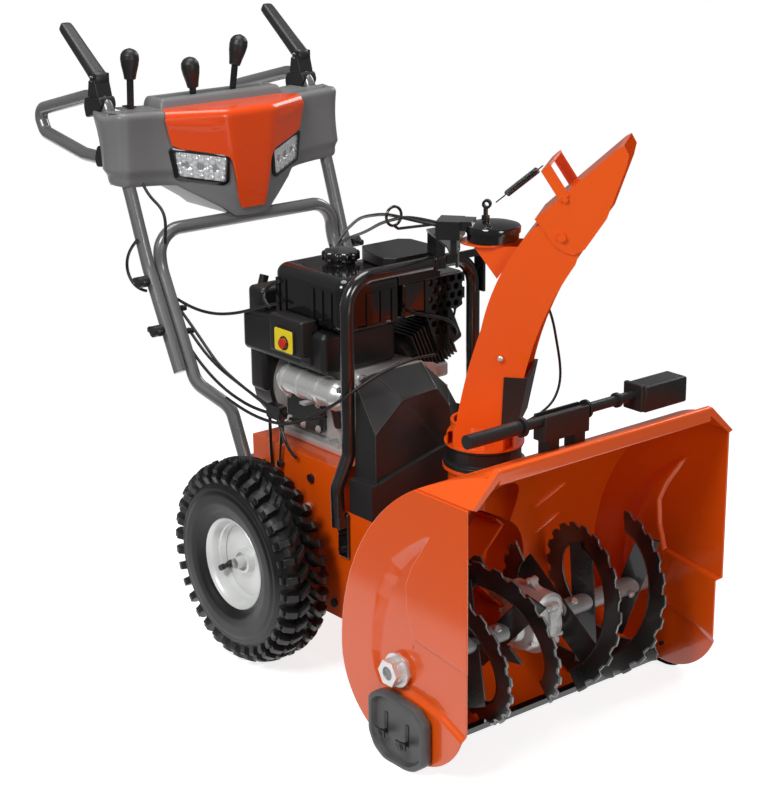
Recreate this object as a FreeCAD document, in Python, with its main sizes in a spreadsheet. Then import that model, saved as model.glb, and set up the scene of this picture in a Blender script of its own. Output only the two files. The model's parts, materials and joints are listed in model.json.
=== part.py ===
import FreeCAD, Part
import math
import os
import re
from types import SimpleNamespace

V = FreeCAD.Vector

# Driving sizes in millimetres and degrees. The machine is laid out with its wheel axle on y = 0,
# its mouth towards -Y and the ground at z = 0; every piece is then moved by length_offset along Y,
# so that the origin stands under the middle of the whole machine.
sizes = {
    "length_offset": 19.65,
    "clearing_width": 610,
    "sheet_steel": 3,
    "wrap_steel": 2.5,
    "auger_y": -497,
    "auger_z": 165,
    "wrap_low_radius": 152,
    "wrap_high_y": -725,
    "wrap_high_radius": 380,
    "mouth_y": -670,
    "chamfer_low_z": 498,
    "chamfer_inner_x": 246,
    "mouth_top_z": 554,
    "auger_radius": 146,
    "ribbon_width": 42,
    "ribbon_steel": 4,
    "auger_pitch": 223,
    "auger_shaft_radius": 17,
    "shaft_end_radius": 12,
    "running_gap": 0.05,
    "impeller_z": 201,
    "impeller_shaft_radius": 12.5,
    "drum_radius": 118,
    "drum_back_y": -247,
    "impeller_radius": 114,
    "chute_y": -371,
    "chute_turn": 38,
    "spout_radius": 62,
    "chute_half_width": 58,
    "chute_steel": 2.5,
    "deflector_half_width": 61.5,
    "deflector_pivot_out": 140,
    "deflector_pivot_z": 856,
    "chassis_half_width": 170,
    "chassis_rear_y": 97,
    "chassis_wall_y": -171,
    "chassis_low_z": 107,
    "chassis_top_z": 400,
    "axle_z": 195,
    "axle_radius": 10,
    "tyre_radius": 195,
    "tyre_outer_x": 305,
    "lugs_a_row": 34,
    "crank_x": -50,
    "crank_z": 490,
    "crank_radius": 12.5,
    "drive_disc_z": 300,
    "friction_shaft_y": -76,
    "hoop_y": -186.6,
    "hoop_tube_radius": 12.5,
    "hoop_left_x": -160,
    "hoop_right_x": 136,
    "hoop_top_z": 751,
    "handle_tube_radius": 13,
    "lower_handle_x": 209,
    "upper_handle_x": 236,
    "console_wall": 3,
    "lever_y": 440,
    "lever_pivot_z": 905,
    "paddle_y": 470,
    "paddle_z": 1040,
    "cable_radius": 3,
    "skid_travel": 25,
    "skid_outer_x": 326,
    "tool_y": -590,
    "tool_z": 575,
}

document = FreeCAD.newDocument("SnowBlower")
sheet = document.addObject("Spreadsheet::Sheet", "Sizes")
for row, (alias, value) in enumerate(sizes.items(), start=1):
    sheet.set(f"A{row}", alias)
    sheet.set(f"B{row}", str(value))
    sheet.setAlias(f"B{row}", alias)
document.recompute()
size = SimpleNamespace(**{alias: float(sheet.get(alias)) for alias in sizes})
pieces = {}


# ---- helpers: expressions, placements, outlines ----

def bind(item, field, formula):
    """Bind a property to a formula written with the sheet's aliases."""
    words = re.compile(r"[a-z_]+")
    known = words.sub(lambda word: "Sizes." + word[0] if word[0] in sizes else word[0], str(formula))
    item.setExpression(field, known)


def add_piece(node, item, x="0", y="0", z="0", turn=0, tilt=None):
    """Name a finished sub-part and stand it in the machine, turned about the upright."""
    item.Label = node
    rotation = FreeCAD.Rotation(V(0, 0, 1), turn)
    if tilt is not None:
        rotation = rotation.multiply(FreeCAD.Rotation(*tilt))
    item.Placement = FreeCAD.Placement(V(0, 0, 0), rotation)
    bind(item, "Placement.Base.x", x)
    bind(item, "Placement.Base.y", f"({y}) - length_offset")
    bind(item, "Placement.Base.z", z)
    pieces[node] = item
    return item


def feature(node, shape, **place):
    """A sub-part whose solid comes from Part's own functions."""
    item = document.addObject("Part::Feature", node)
    item.Shape = shape
    return add_piece(node, item, **place)


def in_plane(plane, across, up, level):
    if plane == "XY":
        return V(across, up, level)
    if plane == "XZ":
        return V(across, level, up)
    return V(level, across, up)


def outline_edges(plane, outline, level=0):
    """Lines through the points; an entry of four numbers is an arc by its middle and end."""
    ends = [in_plane(plane, *entry[-2:], level) for entry in outline]
    edges = []
    for index, entry in enumerate(outline):
        start, end = ends[index - 1], ends[index]
        if len(entry) == 4:
            edges.append(Part.Arc(start, in_plane(plane, *entry[:2], level), end))
        elif (end - start).Length > 1e-6:
            edges.append(Part.LineSegment(start, end))
    return edges


def prism(plane, outline, start, end):
    """The outline carried square to its plane from start to end."""
    edges = [edge.toShape() for edge in outline_edges(plane, outline, start)]
    direction = in_plane(plane, 0, 0, end - start)
    return Part.Face(Part.Wire(edges)).extrude(direction)


def block(x0, x1, y0, y1, z0, z1, rounding=0):
    """A box by its faces, with rounded edges if asked."""
    shape = Part.makeBox(x1 - x0, y1 - y0, z1 - z0, V(x0, y0, z0))
    return shape.makeFillet(rounding, shape.Edges) if rounding else shape


def rod(axis, start, end, radius, a, b):
    """A round bar along one axis; a and b are its place on the other two, in X, Y, Z order."""
    if axis == "x":
        return Part.makeCylinder(radius, end - start, V(start, a, b), V(1, 0, 0))
    if axis == "y":
        return Part.makeCylinder(radius, end - start, V(a, start, b), V(0, 1, 0))
    return Part.makeCylinder(radius, end - start, V(a, b, start), V(0, 0, 1))


def bar_between(start, end, radius, end_radius=None):
    """A round or tapered bar from one point to another."""
    along = V(*end) - V(*start)
    if end_radius is None:
        return Part.makeCylinder(radius, along.Length, V(*start), along)
    return Part.makeCone(radius, end_radius, along.Length, V(*start), along)


def fused(shapes):
    shapes = list(shapes)
    return shapes[0].multiFuse(shapes[1:]).removeSplitter() if len(shapes) > 1 else shapes[0]


def rounded_path(points, bend):
    """Straight runs joined by tangent arcs; bend is one radius or one for each inner point."""
    points = [V(*point) for point in points]
    bends = bend if isinstance(bend, (list, tuple)) else [bend] * (len(points) - 2)
    edges, last = [], points[0]
    for before, corner, after, radius in zip(points, points[1:], points[2:], bends):
        back, ahead = (before - corner).normalize(), (after - corner).normalize()
        half_turn = (math.pi - back.getAngle(ahead)) / 2
        reach = radius * math.tan(half_turn)
        first, final = corner + back * reach, corner + ahead * reach
        inward = (back + ahead).normalize()
        middle = corner + inward * (radius / math.cos(half_turn) - radius)
        if (first - last).Length > 1e-4:
            edges.append(Part.LineSegment(last, first).toShape())
        edges.append(Part.Arc(first, middle, final).toShape())
        last = final
    edges.append(Part.LineSegment(last, points[-1]).toShape())
    return Part.Wire(edges)


def tube(points, bend, radius):
    """A round tube along a rounded path."""
    path = rounded_path(points, bend)
    start = path.Vertexes[0].Point
    heading = path.Edges[0].tangentAt(path.Edges[0].FirstParameter)
    ring = Part.Wire(Part.makeCircle(radius, start, heading))
    return path.makePipeShell([ring], True, False)


def soft_bend(points):
    """Bend radii of a cable: each as large as its two runs allow."""
    points = [V(*point) for point in points]
    bends = []
    for before, corner, after in zip(points, points[1:], points[2:]):
        back, ahead = before - corner, after - corner
        half_turn = (math.pi - back.getAngle(ahead)) / 2
        bends.append(0.45 * min(back.Length, ahead.Length) / math.tan(half_turn))
    return bends


def loop_belt(plane, wheel_a, wheel_b, thick, start, end):
    """A closed belt round two wheels, each given as (across, up, radius)."""
    def loop(grow):
        (ax, ay, ar), (bx, by, br) = wheel_a, wheel_b
        ar, br = ar + grow, br + grow
        span, lean = math.hypot(bx - ax, by - ay), math.atan2(by - ay, bx - ax)
        open_angle = math.acos((ar - br) / span)
        on_a = [(ax + ar * math.cos(lean + turn), ay + ar * math.sin(lean + turn))
                for turn in (open_angle, math.pi, -open_angle)]
        on_b = [(bx + br * math.cos(lean + turn), by + br * math.sin(lean + turn))
                for turn in (-open_angle, 0, open_angle)]
        return prism(plane, [on_a[0], on_a[1] + on_a[2], on_b[0], on_b[1] + on_b[2]], start, end)
    return loop(thick).cut(loop(0))


def add_sketch(body, plane, outline, level, circles=()):
    """A sketch on one of the body's own origin planes, moved to a level given as a formula."""
    support = [item for item in body.Origin.OriginFeatures if item.Role == plane + "_Plane"][0]
    sketch = body.newObject("Sketcher::SketchObject", body.Name + "_sketch")
    sketch.AttachmentSupport = (support, [""])
    sketch.MapMode = "FlatFace"
    bind(sketch, "AttachmentOffset.Base.z", f"-({level})" if plane == "XZ" else level)
    sketch.addGeometry(outline_edges("XY", outline), False)
    for across, up, radius in circles:
        sketch.addGeometry(Part.Circle(V(across, up, 0), V(0, 0, 1), radius), False)
    return sketch


def plate(node, plane, outline, start, thickness, circles=(), windows=(), edge_radius=0):
    """A body padded from an outline, with round holes and windows cut right through."""
    body = document.addObject("PartDesign::Body", node)
    level = f"({start}) + ({thickness})" if plane == "XZ" else start
    pad = body.newObject("PartDesign::Pad", node + "_pad")
    pad.Profile = add_sketch(body, plane, outline, level)
    bind(pad, "Length", thickness)
    document.recompute()
    if edge_radius:
        broad = [f"Edge{index}" for index, edge in enumerate(pad.Shape.Edges, start=1)
                 if is_face_edge(edge, plane)]
        rounded = body.newObject("PartDesign::Fillet", node + "_rounding")
        rounded.Base = (pad, broad)
        rounded.Radius = edge_radius
        document.recompute()
    cuts = [(window, ()) for window in windows]
    if circles:
        cuts.append(([], circles))
    for number, (window, rounds) in enumerate(cuts):
        before = body.Shape.Volume
        pocket = body.newObject("PartDesign::Pocket", f"{node}_pocket_{number}")
        pocket.Profile = add_sketch(body, plane, window, level, rounds)
        pocket.Type = "ThroughAll"
        pocket.SideType = "Symmetric"
        document.recompute()
        if not body.Shape.Volume < before:
            raise RuntimeError(node + ": a pocket cut nothing")
    return body


def is_face_edge(edge, plane):
    """True for an edge that lies in one level of the plane, so not one that runs along the pad."""
    box = edge.BoundBox
    return {"XY": box.ZLength, "XZ": box.YLength, "YZ": box.XLength}[plane] < 1e-6


def turned(node, axis, profile):
    """A body revolved about an axis through its own origin, from (along, radius) points."""
    body = document.addObject("PartDesign::Body", node)
    swap = axis != "X"
    outline = [tuple(number for pair in (entry[i:i + 2] for i in range(0, len(entry), 2))
                     for number in (pair[::-1] if swap else pair)) for entry in profile]
    plane = "XZ" if axis == "Z" else "XY"
    revolution = body.newObject("PartDesign::Revolution", node + "_turn")
    revolution.Profile = add_sketch(body, plane, outline, "0")
    spindle = [item for item in body.Origin.OriginFeatures if item.Role == axis + "_Axis"][0]
    revolution.ReferenceAxis = (spindle, [""])
    revolution.Angle = 360
    document.recompute()
    return body


def mirrored_outline(half):
    """A whole outline from its right half, which runs down from the top at +X."""
    return [*half, *[(-x, z) for x, z in reversed(half)]]


half_width = size.clearing_width / 2
inside_x = half_width - size.sheet_steel


# ---- auger housing ----

def wrap_point(angle, radius):
    return (size.wrap_high_y + radius * math.cos(angle), size.auger_z + radius * math.sin(angle))


def wrap_outline(inset, front_y, low_z):
    """Side outline of the space inside the wrap: a low arc behind the auger, then a wide one."""
    low = size.wrap_low_radius - inset
    high = size.wrap_high_radius - inset
    top_angle = math.acos((size.mouth_y + 6 - size.wrap_high_y) / size.wrap_high_radius)
    lip_y = size.auger_y - 8
    foot = (lip_y, size.auger_z - math.sqrt(low ** 2 - 8 ** 2))
    middle = (size.auger_y + low * math.sin(math.radians(45)),
              size.auger_z - low * math.cos(math.radians(45)))
    back = (size.auger_y + low, size.auger_z)
    crown = wrap_point(top_angle, high)
    return [(front_y, low_z), (lip_y, low_z), foot, (*middle, *back),
            (*wrap_point(top_angle / 2, high), *crown), (front_y, crown[1])]


def chamfer_outline(inset, side_x):
    """Front outline with the two top corners cut off along a slant."""
    run, rise = half_width - size.chamfer_inner_x, size.mouth_top_z - size.chamfer_low_z
    length = math.hypot(run, rise)
    across, up = rise / length, run / length
    reach = across * half_width + up * size.chamfer_low_z - inset
    roof_z = 600
    half = [((reach - up * roof_z) / across, roof_z), (side_x, (reach - across * side_x) / up),
            (side_x, -30)]
    return mirrored_outline(half)


def housing_space(inset, front_y, low_z, side_x):
    side = prism("YZ", wrap_outline(inset, front_y, low_z), -side_x - 20, side_x + 20)
    front = prism("XZ", chamfer_outline(inset, side_x), front_y - 10, -300)
    return side.common(front)


def drum_passage(grow):
    """The round impeller space with the upright spout that leaves it."""
    drum = rod("y", -440, size.drum_back_y - size.wrap_steel + grow, size.drum_radius + grow,
               0, size.impeller_z)
    spout = rod("z", size.impeller_z, 430, size.spout_radius + grow, 0, size.chute_y)
    return drum.fuse(spout)


outer_space = housing_space(0, size.mouth_y, 5, inside_x)
inner_space = housing_space(size.wrap_steel, size.mouth_y - 60, -40, half_width + 5)


def housing_shell():
    """The wrap with its slanted corners and the rolled rail round the mouth."""
    shell = outer_space.cut(inner_space).cut(drum_passage(0))
    rail = block(-size.chamfer_inner_x, size.chamfer_inner_x, size.mouth_y - 10, size.mouth_y + 4,
                 528, size.mouth_top_z, rounding=4)
    slant = [(half_width - 3, size.chamfer_low_z + 3), (half_width - 12, size.chamfer_low_z),
             (size.chamfer_inner_x - 6, size.mouth_top_z - 12), (size.chamfer_inner_x, size.mouth_top_z)]
    corners = [prism("XZ", slant, size.mouth_y - 10, size.mouth_y + 2)]
    corners.append(corners[0].mirror(V(), V(1, 0, 0)))
    return fused([shell, rail, *corners])


feature("housing_shell", housing_shell())

skid_bolts = ((-480, 50), (-535, 46))
stud_radius = 4
high_angle = math.asin((size.chamfer_low_z - size.auger_z) / size.wrap_high_radius)
panel_outline = [
    (size.mouth_y, size.chamfer_low_z), (size.mouth_y, 219), (size.mouth_y + 9, 212),
    (size.mouth_y + 9, 103), (-626, 45, -541, 12), (size.auger_y, 13),
    (*wrap_outline(0, 0, 0)[3],),
    (*wrap_point(high_angle / 2, size.wrap_high_radius), *wrap_point(high_angle, size.wrap_high_radius)),
]
bolt_windows = [[(y, z), (y + 9, z), (y + 9, z + 9), (y, z + 9)] for y, z in ((-625, 456), (-576, 388))]
for side, start in (("left", "-clearing_width / 2"), ("right", "clearing_width / 2 - sheet_steel")):
    stud_holes = [(y, z, stud_radius + size.running_gap) for y, z in skid_bolts]
    panel = plate(f"side_panel_{side}", "YZ", panel_outline, start, "sheet_steel",
                  circles=[(size.auger_y, size.auger_z, 16), *stud_holes], windows=bolt_windows)
    add_piece(f"side_panel_{side}", panel)


def impeller_drum():
    """The impeller housing behind the wrap, with its spout and a flange for the chute collar."""
    shell = drum_passage(size.wrap_steel)
    flange = rod("z", 424, 430, 74, 0, size.chute_y)
    bearing_ring = rod("y", size.drum_back_y, size.drum_back_y + 12, 28, 0, size.impeller_z)
    solid = fused([shell, flange, bearing_ring]).cut(outer_space).cut(drum_passage(0))
    ahead = block(-200, 200, -760, size.auger_y + 40, 0, 460)
    shaft_hole = rod("y", -300, -200, size.impeller_shaft_radius + size.running_gap, 0, size.impeller_z)
    return solid.cut(ahead).cut(shaft_hole)


feature("impeller_drum", impeller_drum())

collar = turned("chute_collar", "Z", [(430, 57), (430, 73), (437, 73), (440, 66), (462, 66),
                                      (464, 69), (468, 69), (468, 57)])
add_piece("chute_collar", collar, y="chute_y")

scraper = plate("scraper_bar", "YZ", [(-521, 7), (-465, 7), (-465, 12.7), (-505.3, 12.7),
                                      (-505.3, 18), (-521, 18)],
                "-clearing_width / 2 + 5", "clearing_width - 10")
add_piece("scraper_bar", scraper)


def bearings():
    """Hex flange bearings of the auger shaft and flanged bushes of the wheel axle."""
    solids = []
    for side in (-1, 1):
        corners = [(size.auger_y + 24 * math.cos(math.radians(60 * turn)),
                    size.auger_z + 24 * math.sin(math.radians(60 * turn))) for turn in range(6)]
        nut = prism("YZ", corners, side * (half_width + 4), side * (half_width + 23))
        flange = rod("x", 0, 4, 30, size.auger_y, size.auger_z)
        flange.translate(V(half_width if side > 0 else -half_width - 4, 0, 0))
        bore = rod("x", -400, 400, size.shaft_end_radius + size.running_gap, size.auger_y, size.auger_z)
        solids.append(fused([nut, flange]).cut(bore))
        bush = rod("x", -3, 12, 18, 0, size.axle_z)
        bush = bush.fuse(rod("x", 3, 6, 26, 0, size.axle_z))
        bush.translate(V(size.chassis_half_width - 3, 0, 0))
        if side < 0:
            bush = bush.mirror(V(), V(1, 0, 0))
        solids.append(bush.cut(rod("x", -400, 400, size.axle_radius + size.running_gap, 0, size.axle_z)))
    return Part.makeCompound(solids)


feature("bearings", bearings())


# ---- chassis, internal drive ----

def chassis_box():
    """Side plates, top, rear, floor and the wall between the belts and the friction drive."""
    wide, low, top = size.chassis_half_width, size.chassis_low_z, size.chassis_top_z
    rear, wall, steel = size.chassis_rear_y, size.chassis_wall_y, size.sheet_steel
    side_outline = [(rear, low), (rear, top), (wall, top), (wall, 325), (-420, 325), (-420, low)]
    parts = [prism("YZ", side_outline, wide - steel, wide), prism("YZ", side_outline, -wide, steel - wide),
             block(-wide, wide, wall, rear, top - steel, top),
             block(-wide, wide, rear - steel, rear, low, top),
             block(-wide, wide, wall - steel, wall, low, top),
             block(-wide, wide, -420, rear, low, low + steel)]
    box = fused(parts)
    clear = housing_space(-0.3, size.mouth_y, 0, half_width + 2)
    holes = [rod("x", -200, 200, 18, 0, size.axle_z),
             rod("x", -200, 200, 9 + size.running_gap, size.friction_shaft_y, size.drive_disc_z),
             rod("y", wall - 10, wall + 10, 10 + size.running_gap, 0, size.drive_disc_z)]
    box = box.cut(clear).cut(drum_passage(size.wrap_steel + 0.3))
    for hole in holes:
        box = box.cut(hole)
    return box


feature("chassis_box", chassis_box())


def pulley_profile(start, width, radius, bore, depth=9):
    """(along, radius) points of a grooved pulley with a solid web."""
    rim = 2.5
    return [(start, bore), (start, radius), (start + rim, radius), (start + rim + 3, radius - depth),
            (start + width - rim - 3, radius - depth), (start + width - rim, radius),
            (start + width, radius), (start + width, bore)]


belt_width = 11
upper_pulley = {"start": -213, "width": 23, "radius": 46}
drive_pulley = {"start": -243, "width": 23, "radius": 38}
impeller_pulley_radius = 84
disc_pulley_radius = 56


def turned_parts(axis, bands, a, b):
    """Fused round bands, each (start, end, radius), on one shaft line."""
    return fused([rod(axis, start, end, radius, a, b) for start, end, radius in bands])


def grooved(axis, start, width, radius, a, b, depth=9):
    """A pulley solid with a V groove."""
    profile = pulley_profile(start, width, radius, 0, depth)
    points = [V(0, radius_here, along) for along, radius_here in profile]
    face = Part.Face(Part.makePolygon([*points, points[0]]))
    shape = face.revolve(V(), V(0, 0, 1), 360)
    shape.rotate(V(), V(1, 0, 0), -90)
    shape.translate(V(a, 0, b))
    return shape


feature("crankshaft", fused([
    turned_parts("y", [(-247, 124, size.crank_radius)], size.crank_x, size.crank_z),
    grooved("y", upper_pulley["start"], 23, upper_pulley["radius"], size.crank_x, size.crank_z),
    grooved("y", drive_pulley["start"], 23, drive_pulley["radius"], size.crank_x, size.crank_z),
    rod("y", 84, 112, 78, size.crank_x, size.crank_z)]))

feature("impeller_shaft", fused([
    turned_parts("y", [(-532, -184, size.impeller_shaft_radius)], 0, size.impeller_z),
    grooved("y", upper_pulley["start"], 23, impeller_pulley_radius, 0, size.impeller_z)]))

feature("friction_disc", fused([
    turned_parts("y", [(-246, -141, 10), (-150, -144, 78)], 0, size.drive_disc_z),
    grooved("y", drive_pulley["start"], 23, disc_pulley_radius, 0, size.drive_disc_z)]))

feature("friction_wheel", turned_parts(
    "x", [(-177, 177, 9), (28, 44, 62), (20, 52, 20), (-120, -113, 18)],
    size.friction_shaft_y, size.drive_disc_z))


def belts_and_chain():
    gap = 0.6
    middle = upper_pulley["start"] + 11.5
    upper = loop_belt("XZ", (size.crank_x, size.crank_z, upper_pulley["radius"] - 9 + gap),
                      (0, size.impeller_z, impeller_pulley_radius - 9 + gap), 8,
                      middle - belt_width / 2, middle + belt_width / 2)
    middle = drive_pulley["start"] + 11.5
    lower = loop_belt("XZ", (size.crank_x, size.crank_z, drive_pulley["radius"] - 9 + gap),
                      (0, size.drive_disc_z, disc_pulley_radius - 9 + gap), 8,
                      middle - belt_width / 2, middle + belt_width / 2)
    chain = loop_belt("YZ", (size.friction_shaft_y, size.drive_disc_z, 18 + gap),
                      (0, size.axle_z, 60 + gap), 6, -120, -113)
    return Part.makeCompound([upper, lower, chain])


feature("belts_and_chain", belts_and_chain())


# ---- wheels ----

feature("axle", fused([rod("x", -287, 287, size.axle_radius, 0, 0),
                       rod("x", -120, -113, 60, 0, 0)]), z="axle_z")

rim_profile = [(-294, 92), (-290, 92), (-288, 84), (-276, 79), (-262, 70), (-226, 70), (-210, 79),
               (-198, 84), (-196, 92), (-192, 92), (-194, 80), (-208, 75), (-224, 66), (-244, 66),
               (-238, 48), (-238, 24), (-200, 24), (-200, 10), (-282, 10), (-282, 22), (-243, 22),
               (-243, 50), (-252, 66), (-264, 66), (-279, 75), (-292, 80)]
carcass_profile = [(-286, 86), (-305, 128, -291, 164), (-283, 175), (-244, 180, -205, 175),
                   (-197, 164), (-183, 128, -202, 86), (-210, 86), (-193, 128, -207, 158),
                   (-244, 169, -281, 158), (-295, 128, -278, 86)]
lug_foot = [(-305, 15), (-305, 31), (-276, 21), (-252, 7), (-236, 5), (-236, -7), (-256, -8), (-280, 6)]


def tyre(valve_angle):
    """A hollow carcass of revolution with two staggered rows of slanted lugs and a valve stem."""
    edges = [edge.toShape() for edge in outline_edges("XY", carcass_profile)]
    carcass = Part.Face(Part.Wire(edges)).revolve(V(), V(1, 0, 0), 360)
    pitch = 360 / size.lugs_a_row
    lugs = []
    for row in range(2):
        flip = 1 if row == 0 else -1
        foot = [(x if row == 0 else -488 - x, flip * along) for x, along in lug_foot]
        lug = prism("XY", foot, 172, size.tyre_radius).common(rod("x", -320, -160, size.tyre_radius, 0, 0))
        for number in range(int(size.lugs_a_row)):
            copy = lug.copy()
            copy.rotate(V(), V(1, 0, 0), 180 + pitch * (number + row / 2))
            lugs.append(copy)
    stem = bar_between((-262, 60, 0), (-286, 55, 0), 5)
    stem.rotate(V(), V(1, 0, 0), valve_angle)
    return Part.makeCompound([carcass.multiFuse(lugs), stem])


for side, turn in (("left", 0), ("right", 180)):
    add_piece(f"rim_{side}", turned(f"rim_{side}", "X", rim_profile), z="axle_z", turn=turn)
    feature(f"tyre_{side}", tyre(195), z="axle_z", turn=turn)


# ---- auger, gearbox, impeller ----

def ribbon(start_angle, end_angle, start_x):
    """A flat steel ribbon on a helix, for the left half; angles run from the front up over the top."""
    turn = end_angle - start_angle
    reach = turn / 360 * size.auger_pitch
    radius = size.auger_radius - size.ribbon_width / 2
    spine = Part.makeHelix(size.auger_pitch, reach, radius)
    slope = size.auger_pitch / (2 * math.pi * radius)
    across = V(0, -slope, 1).normalize()
    half, thick = size.ribbon_width / 2, size.ribbon_steel / 2
    corners = [V(radius + out, 0, 0) + across * up
               for out, up in ((-half, -thick), (half, -thick), (half, thick), (-half, thick))]
    section = Part.makePolygon([*corners, corners[0]])
    shape = Part.Wire(spine).makePipeShell([section], True, True)
    shape.transformShape(FreeCAD.Matrix(0, 0, 1, 0, -1, 0, 0, 0, 0, -1, 0, 0, 0, 0, 0, 1))
    shape.rotate(V(), V(1, 0, 0), -end_angle)
    shape.translate(V(-start_x - reach, 0, 0))
    return shape


def spoke(x, angle):
    """A flat bar right across the auger, tangent to its shaft."""
    length = 2 * (size.auger_radius - size.ribbon_width) + 18
    shape = block(-17, 17, size.auger_shaft_radius - 1, size.auger_shaft_radius + 4,
                  -length / 2, length / 2)
    shape.rotate(V(), V(1, 0, 0), 90 - angle)
    shape.translate(V(x, 0, 0))
    return shape


sleeve = {"inner": 66, "outer": 296}


def auger_half(ribbons, spokes, mirror):
    """One half of the auger: a sleeve over the shaft, its ribbons and its flat spokes."""
    shapes = [ribbon(*numbers) for numbers in ribbons] + [spoke(*numbers) for numbers in spokes]
    shapes.append(rod("x", -sleeve["outer"], -sleeve["inner"], size.auger_shaft_radius, 0, 0))
    whole = shapes[0].multiFuse(shapes[1:])
    whole = whole.cut(rod("x", -400, 0, size.shaft_end_radius, 0, 0))
    return whole.mirror(V(), V(1, 0, 0)) if mirror else whole


left_flight = auger_half([(-50, 290, 40), (130, 470, 40)], [(-76, 25), (-188, -8), (-150, 100)], False)
right_flight = auger_half([(-55, 300, 38), (125, 455, 38)], [(-66, 145), (-196, 60), (-130, 10)], True)
for side, shape in (("left", left_flight), ("right", right_flight)):
    feature(f"auger_flight_{side}", shape, y="auger_y", z="auger_z")

feature("auger_shaft", fused([rod("x", -325, 325, size.shaft_end_radius, 0, 0),
                              rod("x", -12, 12, 23.4, 0, 0)]), y="auger_y", z="auger_z")


def auger_gearbox():
    """Two cast halves bolted on a flange, with the worm space above the wheel space."""
    y, z, worm_z = size.auger_y, size.auger_z, size.impeller_z
    solid = fused([rod("x", -34, 34, 42, y, z), rod("x", -48, 48, 24, y, z),
                   rod("y", y - 46, y + 46, 30, 0, worm_z), rod("y", y, y + 88, 21, 0, worm_z),
                   rod("x", -6, 6, 56, y, z + 14)])
    ears = [rod("x", -8, 8, 10, y + 58 * math.cos(turn), z + 14 + 58 * math.sin(turn))
            for turn in (math.radians(30 + 60 * step) for step in range(6))]
    solid = fused([solid, *ears])
    space = fused([rod("x", -28, 28, 36, y, z), rod("y", y - 38, y + 38, 24, 0, worm_z)])
    bores = fused([rod("x", -60, 60, size.shaft_end_radius + size.running_gap, y, z),
                   rod("y", y - 40, y + 100, size.impeller_shaft_radius + size.running_gap, 0, worm_z)])
    return solid.cut(space).cut(bores)


feature("auger_gearbox", auger_gearbox())


def impeller():
    """Four throwing blades on a hub, each with a turned tip."""
    radius, hub = size.impeller_radius, 24
    shapes = [rod("y", -338, -262, hub, 0, 0)]
    for quarter in range(4):
        blade = block(0, 5, -334, -264, hub - 4, radius)
        tip = block(-20, 5, -334, -264, radius - 5, radius)
        paddle = fused([blade, tip]).common(rod("y", -340, -260, radius, 0, 0))
        paddle.rotate(V(), V(0, 1, 0), 45 + 90 * quarter)
        shapes.append(paddle)
    return fused(shapes).cut(rod("y", -400, -200, size.impeller_shaft_radius, 0, 0))


feature("impeller", impeller(), z="impeller_z")


# ---- guard hoop and belt cover ----

def guard_hoop():
    """A bent tube over the engine; its legs kink outwards to flattened feet on the chassis."""
    y, left, right, top = size.hoop_y, size.hoop_left_x, size.hoop_right_x, size.hoop_top_z
    foot_x = size.chassis_half_width + 16
    path = [(-foot_x, y, 300), (-foot_x - 2, y, 372), (left, y, 430), (left, y, top),
            (right, y, top), (right, y, 430), (foot_x + 2, y, 372), (foot_x, y, 300)]
    hoop = tube(path, [30, 30, 55, 55, 30, 30], size.hoop_tube_radius)
    inner, thick = size.chassis_half_width, 7
    feet = [block(-inner - thick, -inner, y - 15, y + 15, 236, 322, rounding=3),
            block(inner, inner + thick, y - 15, y + 15, 236, 322, rounding=3)]
    sockets = [block(-foot_x - 8, -inner - 1, y - 12, y + 12, 296, 320, rounding=3),
               block(inner + 1, foot_x + 8, y - 12, y + 12, 296, 320, rounding=3)]
    tab_x = right + size.hoop_tube_radius - 1
    cable_tab = block(tab_x, tab_x + 5, y - 16, y + 10, 682, 766)
    return fused([hoop, *feet, *sockets, cable_tab])


feature("guard_hoop", guard_hoop())


cover_floor_z = size.chassis_top_z - 74.7
cover_back = {"y": -196, "outline": [(-160, cover_floor_z), (-152, 564), (-110, 574), (2, 574), (62, 520),
                                     (116, 430), (126, cover_floor_z)]}
cover_front = {"y": -254, "outline": [(-150, cover_floor_z), (-152, 482), (-90, 534), (-10, 540), (20, 500),
                                      (30, 440), (34, cover_floor_z)]}
cover_middle_x = -20


def cover_space(inset):
    """Faceted form of the belt cover, drawn from its back outline to its smaller front outline."""
    wires = []
    drop = 12 if inset else 0
    for end, depth in ((cover_back, 0), (cover_front, inset)):
        points = []
        for x, z in end["outline"]:
            in_x = inset if x < cover_middle_x else -inset
            points.append(V(x + in_x, end["y"] + depth, z - drop if z == cover_floor_z else z - inset))
        wires.append(Part.makePolygon([*points, points[0]]))
    return Part.makeLoft(wires, True, True)


def cover_skirt(inset):
    """Arched skirt under the cover's front, over the housing's shoulder."""
    low = cover_floor_z - (12 if inset else 0)
    left, right = -170 + inset, 128 - inset
    outline = [(left, low), (left, 389 - inset), (-148, 393 - inset), (-80, 411 - inset, -14, 427 - inset),
               (40, 433 - inset, 92, 424 - inset), (right, 402 - inset), (right, low)]
    return prism("XZ", outline, -264 + inset, cover_back["y"])


hoop_gap = block(-200, -138, -200, -170, 300, 600)
belt_cover = cover_space(0).fuse(cover_skirt(0)).cut(cover_space(3)).cut(cover_skirt(3)).cut(hoop_gap)
feature("belt_cover", belt_cover)


# ---- engine ----

def crankcase():
    """Cast block on a foot flange, with round bosses where the crankshaft passes."""
    x, z = size.crank_x, size.crank_z
    case = block(-108, 44, -152, 70, 412, 560, rounding=10)
    foot = block(-128, 66, -140, 60, 400, 414, rounding=4)
    bosses = rod("y", -168, -150, 44, x, z).fuse(rod("y", 68, 80, 60, x, z))
    arm = block(30, 118, -140, -60, 512, 540, rounding=6)
    bore = rod("y", -180, 90, size.crank_radius + size.running_gap, x, z)
    return fused([case, foot, bosses, arm]).cut(bore)


feature("crankcase", crankcase())


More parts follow.
